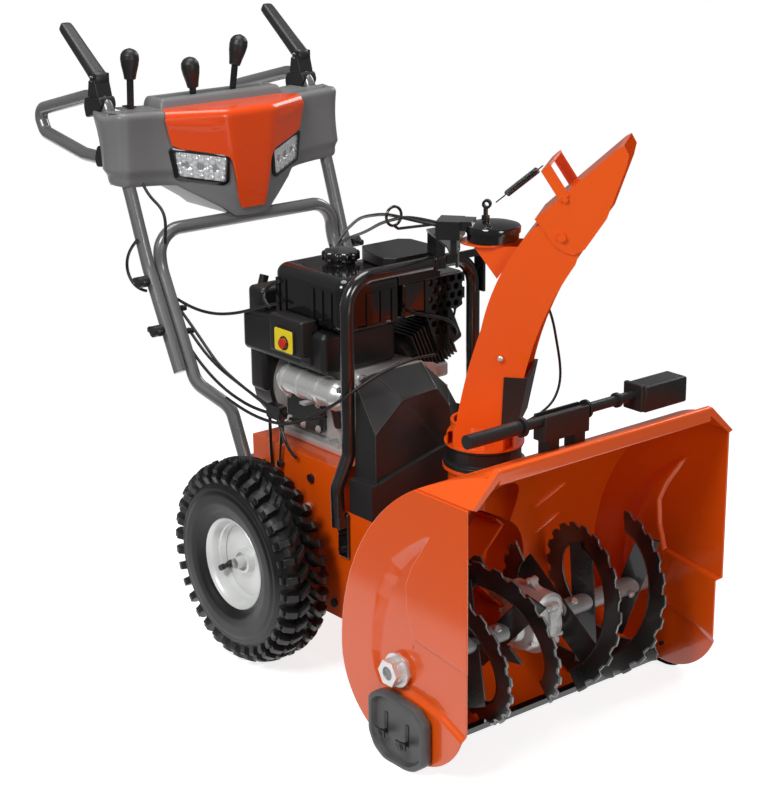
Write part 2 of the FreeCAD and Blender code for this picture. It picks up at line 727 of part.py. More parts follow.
def cylinder():
    """Finned barrel and head leaning up to the right, with the rocker cover at its end."""
    fins = [block(start, start + 3, -49, 49, -46, 46) for start in range(14, 98, 8)]
    parts = [rod("x", 0, 100, 36, 0, 0), *fins, block(98, 128, -42, 42, -34, 34, rounding=8)]
    shape = fused(parts)
    shape.rotate(V(), V(0, 1, 0), -24)
    shape.translate(V(34, -88, 556))
    return shape.cut(crankcase())


feature("cylinder", cylinder())


def fan_shroud():
    """Blower housing round the flywheel with the shroud that leads air over the engine."""
    x, z = size.crank_x, size.crank_z
    drum = rod("y", 80.5, 132, 89, x, z)
    tower = block(-166, 4, -126, 128, 562, 638, rounding=12)
    skirt = block(-150, 44, 80.5, 130, 480, 682, rounding=10)
    whole = fused([drum, tower, skirt])
    hollow = rod("y", 70, 126, 82, x, z)
    return whole.cut(hollow)


feature("fan_shroud", fan_shroud())


tank_top_z = 742


def fuel_tank():
    tank = block(-152, -14, -164, 44, 640, tank_top_z, rounding=22)
    neck = rod("z", 730, 748, 26, -62, -46)
    inside = block(-148, -18, -160, 40, 644, tank_top_z - 4, rounding=18)
    return fused([tank, neck]).cut(inside).cut(rod("z", 720, 750, 21, -62, -46))


feature("fuel_tank", fuel_tank())

cap_profile = [(749, 0), (749, 33), (753, 35), (763, 34), (767, 30), (767, 0)]
cap = turned("fuel_cap", "Z", cap_profile)
cap_notches = [(37 * math.cos(math.radians(45 * step)), 37 * math.sin(math.radians(45 * step)), 6)
               for step in range(8)]
notch_sketch = add_sketch(cap, "XY", [], "749", cap_notches)
cap_pocket = cap.newObject("PartDesign::Pocket", "fuel_cap_lobes")
cap_pocket.Profile = notch_sketch
cap_pocket.Type = "ThroughAll"
cap_pocket.SideType = "Symmetric"
add_piece("fuel_cap", cap, x="-62", y="-46")

feature("muffler", rod("y", -118, 30, 26, 92, 674))


def muffler_guard():
    """Sheet box round the muffler; its front tapers down and is pierced with hexagons."""
    shell = block(6, 156, -140, 60, 640, 710, rounding=8)
    shell = shell.cut(block(9, 153, -136, 70, 643, 707))
    front = [(58, 708), (58, 640), (88, 566), (112, 566), (134, 640), (154, 648), (154, 708)]
    shell = fused([shell, prism("XZ", front, -143, -139)])
    holes = []
    for row in range(7):
        for column in range(5):
            x, z = 70 + 18 * column + 9 * (row % 2), 700 - 16 * row
            if abs(x - 106 + 0.1 * row) < 46 - 7.5 * max(0, row - 3):
                turns = [math.radians(60 * turn) for turn in range(6)]
                corners = [(x + 7 * math.sin(turn), z + 7 * math.cos(turn)) for turn in turns]
                holes.append(prism("XZ", corners, -150, -134))
    return shell.cut(Part.makeCompound(holes))


feature("muffler_guard", muffler_guard())

intake_plan = [(-18, -152), (86, -152), (104, -134), (104, -48), (86, -30), (0, -30), (-20, -60), (-34, -134)]
intake = prism("XY", intake_plan, 710.2, 762)
feature("intake_cover", intake.cut(block(-160, -13, -170, 50, 630, tank_top_z + 0.2)))

starter = fused([rod("y", -150, 28, 27, -140, 524), rod("y", 28, 36, 20, -140, 524),
                 rod("y", -157, -150, 21, -140, 524), rod("y", -146, -140, 29, -140, 524),
                 rod("y", -60, -8, 12, -146, 553)])
feature("starter_motor", starter.cut(crankcase()).cut(fan_shroud()))


button_line = (-46, 614)


def switch_box():
    """Control box on the engine's side, with a plate that frames the start button."""
    box = block(-190, -153, -92, 6, 590, 660, rounding=5)
    plate_front = block(-194, -188, -72, -16, 596, 640, rounding=2)
    arm = block(-172, -150, -92, -62, 575, 650, rounding=4)
    button_hole = rod("x", -210, -170, 7.5, *button_line)
    return fused([box, plate_front, arm]).cut(button_hole).cut(block(-166, -100, -126, 128, 562, 638))


feature("switch_box", switch_box())
feature("start_button", rod("x", -202, -182, 7, *button_line).fuse(rod("x", -202, -197, 9, *button_line)))

feature("recoil_grip", fused([bar_between((-116, 148, 626), (-96, 148, 688), 9),
                              bar_between((-106, 130.3, 657), (-106, 148, 657), 6)]))


# ---- handlebars ----

handle_knobs = ((322.7, 668), (278, 580))
knob_bolt_holes = fused([rod("x", -280, 280, 4.2, y, z) for y, z in handle_knobs])


def lower_handle():
    x = size.lower_handle_x
    half = [(x - 41, 112, 306), (x - 41, 170, 433), (x, 226, 478), (x, 334, 690), (x, 337, 758)]
    path = [(-a, b, c) for a, b, c in half] + half[::-1]
    bars = tube(path, [50, 50, 90, 48, 48, 90, 50, 50], size.handle_tube_radius)
    tabs = [block(side * 155 - 14, side * 155 + 14, 97.3, 106, 296, 356) for side in (-1, 1)]
    return fused([bars, *tabs]).cut(knob_bolt_holes)


feature("lower_handle", lower_handle())


def handle_tube(side):
    """Upper handle: up past the console, then back in a loop that the hand grips."""
    x = size.upper_handle_x
    path = [(x, 238, 502), (x, 334, 690), (x + 2, 382, 824), (x + 6, 452, 1000),
            (x + 6, 520, 1000), (x + 6, 716, 950), (x + 6, 690, 908), (x + 6, 540, 884), (x + 4, 412, 884)]
    path = [(side * a, b, c) for a, b, c in path]
    return tube(path, [90, 160, 30, 60, 20, 22, 60], size.handle_tube_radius).cut(knob_bolt_holes)


for name, side in (("left", -1), ("right", 1)):
    feature(f"handle_tube_{name}", handle_tube(side))


# ---- console ----

lever_slots = ((-203, -187), (-58, -41), (28, 58))
crossbar_y, crossbar_z = 337, 758
lead_entry = ((-214, 358, 818), (-214, 396, 867))


def console_form(inset):
    """A front outline crossed with a plan outline that comes forward to a nose."""
    front = mirrored_outline([(150, 978 - inset), (262 - inset, 988 - inset), (283 - inset, 968 - inset),
                              (266 - inset, 850 + inset), (206, 836 + inset), (140, 832 + inset),
                              (46 - inset, 762 + inset)])
    plan = [(-284 + inset, 432), (-258 + inset, 368 + inset), (-160, 372 + inset), (-46, 316 + inset),
            (46, 316 + inset), (160, 372 + inset), (258 - inset, 368 + inset), (284 - inset, 432),
            (278 - inset, 492 + 10 * (inset > 0)), (-278 + inset, 492 + 10 * (inset > 0))]
    return prism("XZ", front, 280, 520).common(prism("XY", plan, 740, 1010))


def front_band(depth, reach_in):
    """Space just ahead of the console's front skin, following its plan."""
    front_line = [(-258, 368), (-160, 372), (-46, 316), (46, 316), (160, 372), (258, 368)]
    ahead = [(x, y - depth) for x, y in front_line]
    behind = [(x, y + reach_in) for x, y in reversed(front_line)]
    return prism("XY", ahead + behind, 740, 1010)


panel_front = mirrored_outline([(168, 972), (150, 908), (60, 892), (44, 880), (30, 782)])
lamp_front = [(56, 884), (148, 900), (140, 852), (60, 836)]
console_panel = prism("XZ", panel_front, 290, 420).common(front_band(6, 0))
lamps = prism("XZ", lamp_front, 290, 420).common(front_band(4, 0))


def console_shell():
    """Open-backed shell with the lever tray along its top and slots for the three levers."""
    outer = console_form(0)
    shell = outer.cut(console_form(size.console_wall))
    tray = prism("YZ", [(404, 976), (412, 996), (470, 996), (474, 970), (470, 960), (404, 960)], -146, 146)
    tray = tray.cut(block(-138, 138, 424, 462, 968, 1000))
    cuts = [block(low, high, 412, 470, 940, 1000) for low, high in lever_slots]
    cuts += [block(side * 238 - 19, side * 238 + 19, 376, 530, 820, 1020) for side in (-1, 1)]
    cuts.append(rod("x", -240, 240, size.handle_tube_radius + 0.3, crossbar_y, crossbar_z))
    cuts.append(bar_between(*lead_entry, size.cable_radius + 0.2))
    whole = fused([shell, tray]).cut(fused(cuts))
    y, z = size.lever_y, size.lever_pivot_z
    cheeks = []
    for low, high in lever_slots:
        top = 980.5 if low < -150 else 962
        cheeks += [block(x, x + 3, y - 12, y + 12, z - 12, top) for x in (low - 4, high + 1)]
    pin_holes = rod("x", -300, 300, 4 + size.running_gap, y, z)
    return fused([whole, *cheeks]).cut(pin_holes)


feature("console_shell", console_shell())
feature("console_panel", console_panel)
feature("headlamps", Part.makeCompound([lamps, lamps.mirror(V(), V(1, 0, 0))]))


def knob_lever(slot_span, foot, knob_base, knob_top, knob_radius=17):
    """A rod with a pear-shaped knob, on a cross pin inside the console."""
    low, high = slot_span
    pin = rod("x", low - 5, high + 5, 4, foot[1], foot[2]).fuse(rod("x", low, high, 7, foot[1], foot[2]))
    stalk = bar_between(foot, knob_base, 4.5)
    up = (V(*knob_top) - V(*knob_base))
    knob_low = bar_between(knob_base, tuple(V(*knob_base) + up * 0.72), 8.5, knob_radius)
    crown = Part.makeSphere(knob_radius, V(*knob_base) + up * 0.72)
    return fused([pin, stalk, knob_low, crown])


lever_knobs = {
    "chute_lever": (-196, (-192, 1036), (-190, 1080)),
    "speed_lever": (-50, (-48, 1006), (-55, 1052)),
    "deflector_lever": (34, (53, 1040), (70, 1086)),
}
for slot_span, (node, (foot_x, base, top)) in zip(lever_slots, lever_knobs.items()):
    y = size.lever_y
    lever = knob_lever(slot_span, (foot_x, y, size.lever_pivot_z), (base[0], y, base[1]), (top[0], y, top[1]))
    feature(node, lever)


def paddle_point(along, across):
    """A point in the paddle's own lengthwise frame, leaning back from its pivot."""
    lean = math.radians(36.5)
    return (size.paddle_y + along * math.cos(lean) - across * math.sin(lean),
            size.paddle_z + along * math.sin(lean) + across * math.cos(lean))


def engagement_lever(side):
    """A broad paddle that swings down onto the grip, on a pivot clamped to the handle."""
    x = side * (size.upper_handle_x + 6)
    half = [(-9, -8), (30, -9), (110, -8), (158, -6), (163, 2), (158, 10), (110, 12), (30, 10), (-9, 8)]
    paddle = prism("YZ", [paddle_point(*point) for point in half], x - 11, x + 11)
    boss = rod("x", x - 12.4, x + 12.4, 10, size.paddle_y, size.paddle_z)
    hole = rod("x", x - 20, x + 20, 4 + size.running_gap, size.paddle_y, size.paddle_z)
    return fused([paddle, boss]).cut(hole)


for name, side in (("left", -1), ("right", 1)):
    feature(f"engagement_lever_{name}", engagement_lever(side))


# ---- chute, deflector and chute head ----
# These pieces are drawn facing -Y on the chute's own upright and then turned with it.

def facing(points):
    """Side outline from (distance out, height) entries; four numbers are an arc."""
    return [tuple(number if index % 2 else -number for index, number in enumerate(entry)) for entry in points]


def chute_back(inset):
    """Back edge of the chute from its top down, as two arcs."""
    return [(85 + inset, 862), (36 + inset, 786, 3 + inset, 688), (inset - 23, 600, inset - 41, 508)]


chute_front = [(60, 502), (79, 610), (107, 702, 162, 808), (172, 838), (162, 866), (132, 880), (100, 874)]


def chute():
    """A deep channel on a round base, closed behind and at the sides, open in front."""
    steel, wide = size.chute_steel, size.chute_half_width
    side = [(-60, 472), (60, 472), *chute_front, *chute_back(0), (-60, 496)]
    channel = prism("YZ", facing(side), -wide, wide)
    corner_trim = rod("z", 460, 516, 90, 0, 0).cut(rod("z", 460, 516, 72, 0, 0))
    open_side = [(-60 + steel, 440), (60 - steel, 440), (60 - steel, 500), (72, 520), (260, 520), (260, 900),
                 (120, 900), *chute_back(steel), (-60 + steel, 495)]
    hollow = prism("YZ", facing(open_side), steel - wide, wide - steel)
    round_hollow = rod("z", 430, 506, 54.2, 0, 0)
    base = fused([rod("z", start, end, radius, 0, 0)
                  for start, end, radius in ((468.4, 510, 60), (468.4, 472.4, 71), (444, 472, 56.6))])
    lower = base.cut(rod("z", 430, 520, 54.2, 0, 0))
    upper = channel.cut(corner_trim).cut(hollow).cut(round_hollow)
    triangle = [(-16, 829), (64, 829), (26, 772)]
    behind_back = prism("YZ", facing([*chute_back(1), (-60, 400), (300, 400), (300, 900)]), -80, 80)
    cheeks = fused([prism("YZ", facing(triangle), x - 1.5, x + 1.5) for x in (-32, 32)]).cut(behind_back)
    top_plate = rod("z", 828, 831, 44, 0, 0).cut(behind_back)
    hub = rod("z", 831, 846, 9, 0, 0)
    bolts = [rod("x", -wide - 6, -wide + 1, 5.5, -out, z) for out, z in ((38, 640), (18, 500))]
    bolts += [bolt.mirror(V(), V(1, 0, 0)) for bolt in bolts]
    pin_hole = rod("x", -80, 80, 4 + size.running_gap, -size.deflector_pivot_out, size.deflector_pivot_z)
    return fused([upper, lower, cheeks, top_plate, hub, *bolts]).cut(pin_hole)


feature("chute", chute(), y="chute_y", turn=size.chute_turn)

flap_side = [(40, 517), (67, 514), (85, 606), (44, 606)]
flap_space = [(0, 490), (61.8, 505), (81, 612), (81, 700), (0, 700)]
flap = prism("YZ", facing(flap_side), -61.5, 61.5).cut(prism("YZ", facing(flap_space), -58.2, 58.2))
feature("chute_flap", flap, y="chute_y", turn=size.chute_turn)


def deflector():
    """A hood that folds over the chute's mouth, with a strap that the spring pulls on."""
    wide, steel = size.deflector_half_width, 2.5
    side = [(93, 884), (229, 1007), (238, 1012), (247, 996), (243, 976), (213, 889), (178, 836),
            (160, 826), (136, 834, 113, 862)]
    inner = [(74.7, 863.1), (253, 1025.2), (320, 1000), (320, 800), (60, 800)]
    hood = prism("YZ", facing(side), -wide, wide)
    hood = hood.cut(prism("YZ", facing(inner), steel - wide, wide - steel))
    arm = [(137, 914), (151, 927), (117, 979), (103, 966)]
    arms = fused([prism("YZ", facing(arm), x, x + 3) for x in (-wide - 3, wide)])
    crossbar = prism("YZ", facing([(106, 963), (120, 976), (117, 979), (103, 966)]), -wide - 3, wide + 3)
    rivets = [rod("x", -wide - 6, -wide + 1, 5, -144, 920), rod("x", wide - 1, wide + 6, 5, -144, 920)]
    pin = rod("x", 52, wide + 5, 4, -size.deflector_pivot_out, size.deflector_pivot_z)
    heads = [rod("x", -wide - 7, -wide, 7, -size.deflector_pivot_out, size.deflector_pivot_z),
             rod("x", wide, wide + 7, 7, -size.deflector_pivot_out, size.deflector_pivot_z)]
    eye_hole = rod("y", -140, -80, 2.2, -30, 971)
    return fused([hood, arms, crossbar, *rivets, pin, pin.mirror(V(), V(1, 0, 0)), *heads]).cut(eye_hole)


feature("deflector", deflector(), y="chute_y", turn=size.chute_turn)

spring_foot, spring_top = (0, -16, 896), (-30, -104, 971)


def along_spring(share):
    return tuple(V(*spring_foot) + (V(*spring_top) - V(*spring_foot)) * share)


spring = fused([bar_between(along_spring(0.02), along_spring(0.24), 1.3),
                bar_between(along_spring(0.24), along_spring(0.86), 4.6),
                bar_between(along_spring(0.86), along_spring(0.97), 1.3)])
feature("deflector_spring", spring, y="chute_y", turn=size.chute_turn)


def chute_head():
    """Fixed head over the chute: cover, cable box and eye post, on an arm from the hoop."""
    cover = fused([rod("z", 834, 847, 43, 0, -13), rod("z", 847, 856, 46, 0, -13)])
    cover = cover.cut(rod("z", 820, 850, 9 + size.running_gap, 0, 0))
    box = fused([block(-26, 26, 40, 82, 834, 866), block(-17, 17, 47, 58, 808, 840),
                 block(-22, 22, 20, 60, 850, 866)])
    strap = block(-7, 7, 47, 51, 782, 812)
    post = fused([rod("z", 850, 886, 4, 0, 0), rod("z", 855, 862, 9, 0, 0), rod("z", 866, 874, 7, 0, 0),
                  rod("x", -5, 5, 8, -2, 894)]).cut(rod("x", -9, 9, 4, -2, 894))
    turned_head = fused([cover, box, strap, post])
    turned_head.rotate(V(), V(0, 0, 1), size.chute_turn)
    turned_head.translate(V(0, size.chute_y, 0))
    plate_outline = [(-48, -332), (-40, -343), (-18, -326), (60, -204), (60, -174), (34, -174), (-26, -300)]
    arm = prism("XY", plate_outline, 808, 812)
    clamp = fused([block(34, 60, size.hoop_y - 16, size.hoop_y + 16, 738, 764, rounding=5),
                   block(36, 58, size.hoop_y - 12, size.hoop_y + 12, 755, 812)])
    clamp = clamp.cut(rod("x", 0, 90, size.hoop_tube_radius, size.hoop_y, size.hoop_top_z))
    side_bar = block(58, size.hoop_right_x + 11.5, size.hoop_y - 17, size.hoop_y - 13, 752, 766)
    guide = tube([(46, -186, 800), (46, -190, 822), (-44, -190, 827), (-54, -190, 834)], [6, 6], 2.6)
    ring = Part.makeTorus(17, 2.6, V(-54, -190, 851), V(0, 1, 0))
    return fused([turned_head, arm, clamp, side_bar, guide, ring])


fixed_head = chute_head()
feature("chute_head", fixed_head)


# ---- skid shoes, clean-out tool, small fittings ----

skid_outline = [(-441, 40), (-441, 106), (-461, 121), (-485, 127), (-562, 121), (-587, 102), (-587, 26),
                (-560, 5), (-540, 0), (-482, 0), (-456, 14)]


def slot(y, z):
    """An upright slot whose lower end holds the bolt while the shoe is fully up."""
    reach, half = size.skid_travel + 8, 5
    low, high = z, z + reach
    return [(y + half, low), (y + half, high), (y, high + half, y - half, high), (y - half, low),
            (y, low - half, y + half, low)]


for name, start in (("left", "-skid_outer_x"), ("right", "clearing_width / 2 + 1")):
    shoe = plate(f"skid_shoe_{name}", "YZ", skid_outline, start, "skid_outer_x - clearing_width / 2 - 1",
                 windows=[slot(y, z) for y, z in skid_bolts], edge_radius=3)
    add_piece(f"skid_shoe_{name}", shoe)


def cleaning_tool():
    """A rod with a grip and stop rings, and a scoop that is open behind and below."""
    y, z = size.tool_y, size.tool_z
    bands = ((-236, 160, 9), (-236, -122, 12), (-120, -114, 17), (28, 33, 16), (101, 107, 13))
    handle = [rod("x", start, end, radius, y, z) for start, end, radius in bands]
    scoop = block(150, 254, y - 24, y + 24, z - 28, z + 18, rounding=4)
    scoop = scoop.cut(block(157, 260, y - 19, y + 30, z - 40, z + 13))
    return fused([*handle, block(142, 152, y - 22, y + 22, z - 26, z + 22, rounding=3), scoop])


feature("cleaning_tool", cleaning_tool())


def tool_clip():
    """An open saddle on two feet that stands on the housing and carries the tool's rod."""
    y, z = size.tool_y, size.tool_z
    saddle = block(-76, 26, y - 15, y + 15, z - 34, z + 11, rounding=2)
    saddle = saddle.cut(block(-80, 30, y - 9.4, y + 9.4, z, z + 20)).cut(rod("x", -80, 30, 9.4, y, z))
    feet = [block(x, x + 24, y - 13, y + 13, z - 62, z - 30) for x in (-66, -6)]
    return fused([saddle, *feet]).cut(outer_space)


feature("tool_clip", tool_clip())

chassis_bolts = ((-88, 361), (-116, 191), (-153, 134), (60, 350), (60, 140))
hoop_bolts = ((-186, 252), (-186, 288))
def fasteners():
    """Bolt heads of chassis and hoop, wing nuts of the shoes, wing knobs of the handles."""
    solids = []
    for y, z in chassis_bolts:
        solids.append(rod("x", -size.chassis_half_width - 6, -size.chassis_half_width, 8, y, z))
    for y, z in hoop_bolts:
        solids.append(rod("x", -size.chassis_half_width - 12, -size.chassis_half_width - 7, 7, y, z))
    for y, z in skid_bolts:
        stud = rod("x", -335, -inside_x + 6, stud_radius, y, z)
        nut = rod("x", -334, -size.skid_outer_x - 0.4, 7, y, z)
        wings = block(-333, -330, y - 13, y + 13, z - 4, z + 9, rounding=1)
        solids.append(fused([stud, nut, wings]))
    for y, z in handle_knobs:
        tube_x, knob_x = size.lower_handle_x + 1, size.upper_handle_x
        bolt = rod("x", -knob_x - 26, 13 - tube_x, 4, y, z)
        knob = fused([rod("x", -knob_x - 34, -knob_x - 13, 11, y, z),
                      block(-knob_x - 33, -knob_x - 22, y - 22, y + 22, z - 6, z + 6, rounding=4)])
        solids.append(fused([bolt, knob]))
    x, y, z = -size.upper_handle_x - 6, size.paddle_y, size.paddle_z
    bracket = fused([block(x - 16, x + 16, y - 13, y + 13, 1013.2, 1022),
                     block(x - 16, x - 13, y - 10, y + 10, 1014, z + 10),
                     block(x + 13, x + 16, y - 10, y + 10, 1014, z + 10),
                     rod("x", x - 19, x + 19, 4, y, z)])
    solids.append(bracket)
    solids += [solid.mirror(V(), V(1, 0, 0)) for solid in solids]
    return Part.makeCompound(solids)


feature("fasteners", fasteners())


# ---- Bowden cables, held along their whole routes ----

cable_routes = {
    "chute_pull": [(-66, -318, 858), (-84, -270, 862), (-66, -190, 858), (-8, -70, 826), (66, 60, 790),
                   (130, 170, 745), (180, 262, 706), (192, 305, 660), (188, 300, 610)],
    "chute_return": [(-52, -304, 858), (-64, -250, 862), (-44, -190, 846), (20, -60, 806), (100, 66, 762),
                     (162, 180, 722), (182, 274, 690), (182, 306, 650), (178, 296, 600)],
    "deflector_pull": [(-20, -262, 606), (-76, -262, 612), (-140, -236, 586), (-192, -206, 540),
                       (-200, -120, 490), (-200, -60, 462), (-201, 10, 452), (-201, 80, 456), (-198, 140, 466)],
    "drive_clutch": [(-191, 14.3, 480), (-191, 58, 488), (-191, 112, 502), (-191, 167, 519), (-191, 208, 545),
                     (-191, 251, 576), (-191, 296, 604)],
    "auger_clutch": [(-184, 14.3, 470), (-184, 54, 481), (-184, 100, 493), (-184, 150, 504), (-184, 200, 519),
                     (-184, 244, 541), (-184, 284, 570)],
    "throttle": [(-191, 14.3, 466), (-191, 60, 463), (-191, 106, 468), (-191, 156, 478), (-190, 210, 497),
                 (-190, 252, 520), (-190, 284, 544)],
    "tank_lead": [(-191, 318, 627), (-189, 270, 617), (-184, 214, 614), (-176, 160, 622), (-168, 104, 638),
                  (-161, 60, 657), (-156.5, 20, 668)],
    "fuel_hose": [(-156, 12, 712), (-160, 42, 702), (-168, 54, 684), (-174, 40, 668), (-176, 18, 664)],
    "engine_lead": [(-174, -30, 462), (-174, -62, 467), (-173, -96, 475), (-168, -132, 490)],
    "handle_loop": [(-254, 342, 746), (-256, 368, 724), (-256, 386, 694), (-255, 376, 662), (-254, 348, 648),
                    (-253, 320, 650)],
    "console_lead": [(-214, 392, 862), (-214, 364, 826), (-213, 326, 814), (-212, 303, 794), (-212, 305, 766),
                     (-212, 310, 738)],
}


def control_cables():
    cables = []
    for route in cable_routes.values():
        bends = soft_bend(route)
        print("cable bend radii", [round(radius) for radius in bends])
        cables.append(tube(route, bends, size.cable_radius))
    cables = [cable.cut(fixed_head) for cable in cables]
    yoke = fused([block(-196, -179, -28, 14, 460, 486, rounding=3),
                  bar_between((-184, -20, 464), (-179, -8, 410), 4.2),
                  bar_between((-179, -8, 410), (-177, 2, 366), 2.6), rod("x", -182, -170, 7, 2, 366)])
    cables.append(yoke)
    return Part.makeCompound(cables)


feature("control_cables", control_cables())

# ---- checks and export ----

document.recompute()
problems = []
for item in document.Objects:
    if any(state in ("Invalid", "Error") for state in item.State):
        problems.append(f"{item.Name}: {item.State}")
for node, item in pieces.items():
    if item.Shape.isNull() or not item.Shape.isValid() or not item.Shape.Solids:
        problems.append(f"{node}: bad shape")
if problems:
    raise RuntimeError("; ".join(problems))

os.makedirs("parts", exist_ok=True)
whole = FreeCAD.BoundBox()
for node, item in pieces.items():
    item.Shape.exportStep(os.path.join("parts", node + ".step"))
    whole.add(item.Shape.BoundBox)
print(len(pieces), "pieces;", "box", [round(number, 1) for number in (
    whole.XMin, whole.YMin, whole.ZMin, whole.XMax, whole.YMax, whole.ZMax)])
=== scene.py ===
import json
import math
import bpy
import bmesh
import numpy as np
from mathutils import Matrix, Vector

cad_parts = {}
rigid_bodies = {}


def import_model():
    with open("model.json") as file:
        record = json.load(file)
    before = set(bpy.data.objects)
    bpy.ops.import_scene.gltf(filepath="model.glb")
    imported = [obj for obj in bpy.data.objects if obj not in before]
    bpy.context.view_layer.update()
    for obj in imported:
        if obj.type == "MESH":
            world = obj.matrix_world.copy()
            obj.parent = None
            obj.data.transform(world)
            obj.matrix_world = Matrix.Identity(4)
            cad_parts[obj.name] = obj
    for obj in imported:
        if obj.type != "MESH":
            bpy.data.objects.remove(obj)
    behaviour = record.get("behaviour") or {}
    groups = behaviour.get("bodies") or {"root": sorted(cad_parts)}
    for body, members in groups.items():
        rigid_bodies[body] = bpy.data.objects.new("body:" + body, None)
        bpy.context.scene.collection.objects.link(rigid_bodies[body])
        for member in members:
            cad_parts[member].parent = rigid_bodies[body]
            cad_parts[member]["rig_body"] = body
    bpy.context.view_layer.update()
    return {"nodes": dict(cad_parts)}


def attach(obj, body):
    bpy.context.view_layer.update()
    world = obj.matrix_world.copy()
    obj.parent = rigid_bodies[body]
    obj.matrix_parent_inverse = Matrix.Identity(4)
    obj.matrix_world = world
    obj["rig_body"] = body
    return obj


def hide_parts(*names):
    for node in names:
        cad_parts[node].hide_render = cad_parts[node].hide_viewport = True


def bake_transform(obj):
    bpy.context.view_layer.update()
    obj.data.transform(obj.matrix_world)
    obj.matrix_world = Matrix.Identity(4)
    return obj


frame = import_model()
nodes = frame["nodes"]
shiftY = -0.01965    # the machine's own layout has its axle on y = 0; the frame is centred on its box


def place(x, y, z):
    # mm in the machine's own layout to metres in the frame
    return (x / 1000, y / 1000 + shiftY, z / 1000)


def placed(points):
    # the same for a whole array of points
    return np.asarray(points, float) / 1000 + (0, shiftY, 0)


def sideWord(side):
    # 1 is the machine's left, where x is below zero
    return "Left" if side > 0 else "Right"


# camera, light and world; the spot is in mm, the turns are in degrees
cameraSet = {"spot": (-2186, -2794, 1588), "azimuth": -39.13, "elevation": 17.62, "roll": -0.53,
             "lens": 88.68182, "sensor": 36, "reach": 90}


def makeCamera(s):
    # the lens looks along minus back, and roll turns it about that line
    azimuth, elevation, roll = (math.radians(s[k]) for k in ("azimuth", "elevation", "roll"))
    back = Vector((math.sin(azimuth) * math.cos(elevation), -math.cos(azimuth) * math.cos(elevation),
                   math.sin(elevation)))
    right = Vector((math.cos(azimuth), math.sin(azimuth), 0))
    up = back.cross(right)
    turned = right * math.cos(roll) + up * math.sin(roll)
    raised = up * math.cos(roll) - right * math.sin(roll)
    lens = bpy.data.cameras.new("camera")
    lens.lens = s["lens"]
    lens.sensor_width = s["sensor"]
    lens.clip_end = s["reach"]
    camera = bpy.data.objects.new("camera", lens)
    bpy.context.scene.collection.objects.link(camera)
    spin = Matrix((turned, raised, back)).transposed().to_4x4()
    camera.matrix_world = Matrix.Translation(place(*s["spot"])) @ spin
    bpy.context.scene.camera = camera


makeCamera(cameraSet)

lampSet = {
    "keyLamp": {"spot": (-3.0, -1.0, 3.2), "aim": (0, -0.1, 0.4), "size": 1.5, "power": 92},
    "frontLamp": {"spot": (-0.6, -4.6, 2.2), "aim": (0, 0, 0.4), "size": 1.4, "power": 44},
    "sideLamp": {"spot": (3.4, 0.6, 2.6), "aim": (0, 0, 0.4), "size": 1.6, "power": 34},
    "topLamp": {"spot": (0.2, 0.4, 4.2), "aim": (0, 0, 0.2), "size": 2.6, "power": 88},
}


def makeLamps(lamps):
    # round area lamps, each turned to its aim; spots in metres
    for name, s in lamps.items():
        light = bpy.data.lights.new(name, "AREA")
        light.shape = "DISK"
        light.size = s["size"]
        light.energy = s["power"]
        lamp = bpy.data.objects.new(name, light)
        bpy.context.scene.collection.objects.link(lamp)
        lamp.location = s["spot"]
        lamp.rotation_euler = (Vector(s["aim"]) - Vector(s["spot"])).to_track_quat("-Z", "Y").to_euler()


makeLamps(lampSet)


def makeWorld(strength):
    # plain white to the eye and through a clear lens, a dimmer white as light
    world = bpy.data.worlds.new("studio")
    bpy.context.scene.world = world
    world.use_nodes = True
    tree = world.node_tree
    light = tree.nodes["Background"]
    path = tree.nodes.new("ShaderNodeLightPath")
    sharp = tree.nodes.new("ShaderNodeBackground")
    mix = tree.nodes.new("ShaderNodeMixShader")
    biggest = tree.nodes.new("ShaderNodeMath")
    biggest.operation = "MAXIMUM"
    light.inputs["Color"].default_value = (1, 1, 1, 1)
    light.inputs["Strength"].default_value = strength
    sharp.inputs["Color"].default_value = (1, 1, 1, 1)
    sharp.inputs["Strength"].default_value = 1.0
    tree.links.new(path.outputs["Is Camera Ray"], biggest.inputs[0])
    tree.links.new(path.outputs["Is Transmission Ray"], biggest.inputs[1])
    tree.links.new(biggest.outputs[0], mix.inputs[0])
    tree.links.new(light.outputs[0], mix.inputs[1])
    tree.links.new(sharp.outputs[0], mix.inputs[2])
    tree.links.new(mix.outputs[0], tree.nodes["World Output"].inputs["Surface"])


worldStrength = 0.22
makeWorld(worldStrength)
print("camera, lamps and world are set")


# finishes
def groupSocket(group, name, kind, value=None, out=False):
    socket = group.interface.new_socket(name=name, in_out="OUTPUT" if out else "INPUT", socket_type=kind)
    if value is not None:
        socket.default_value = value
    return socket


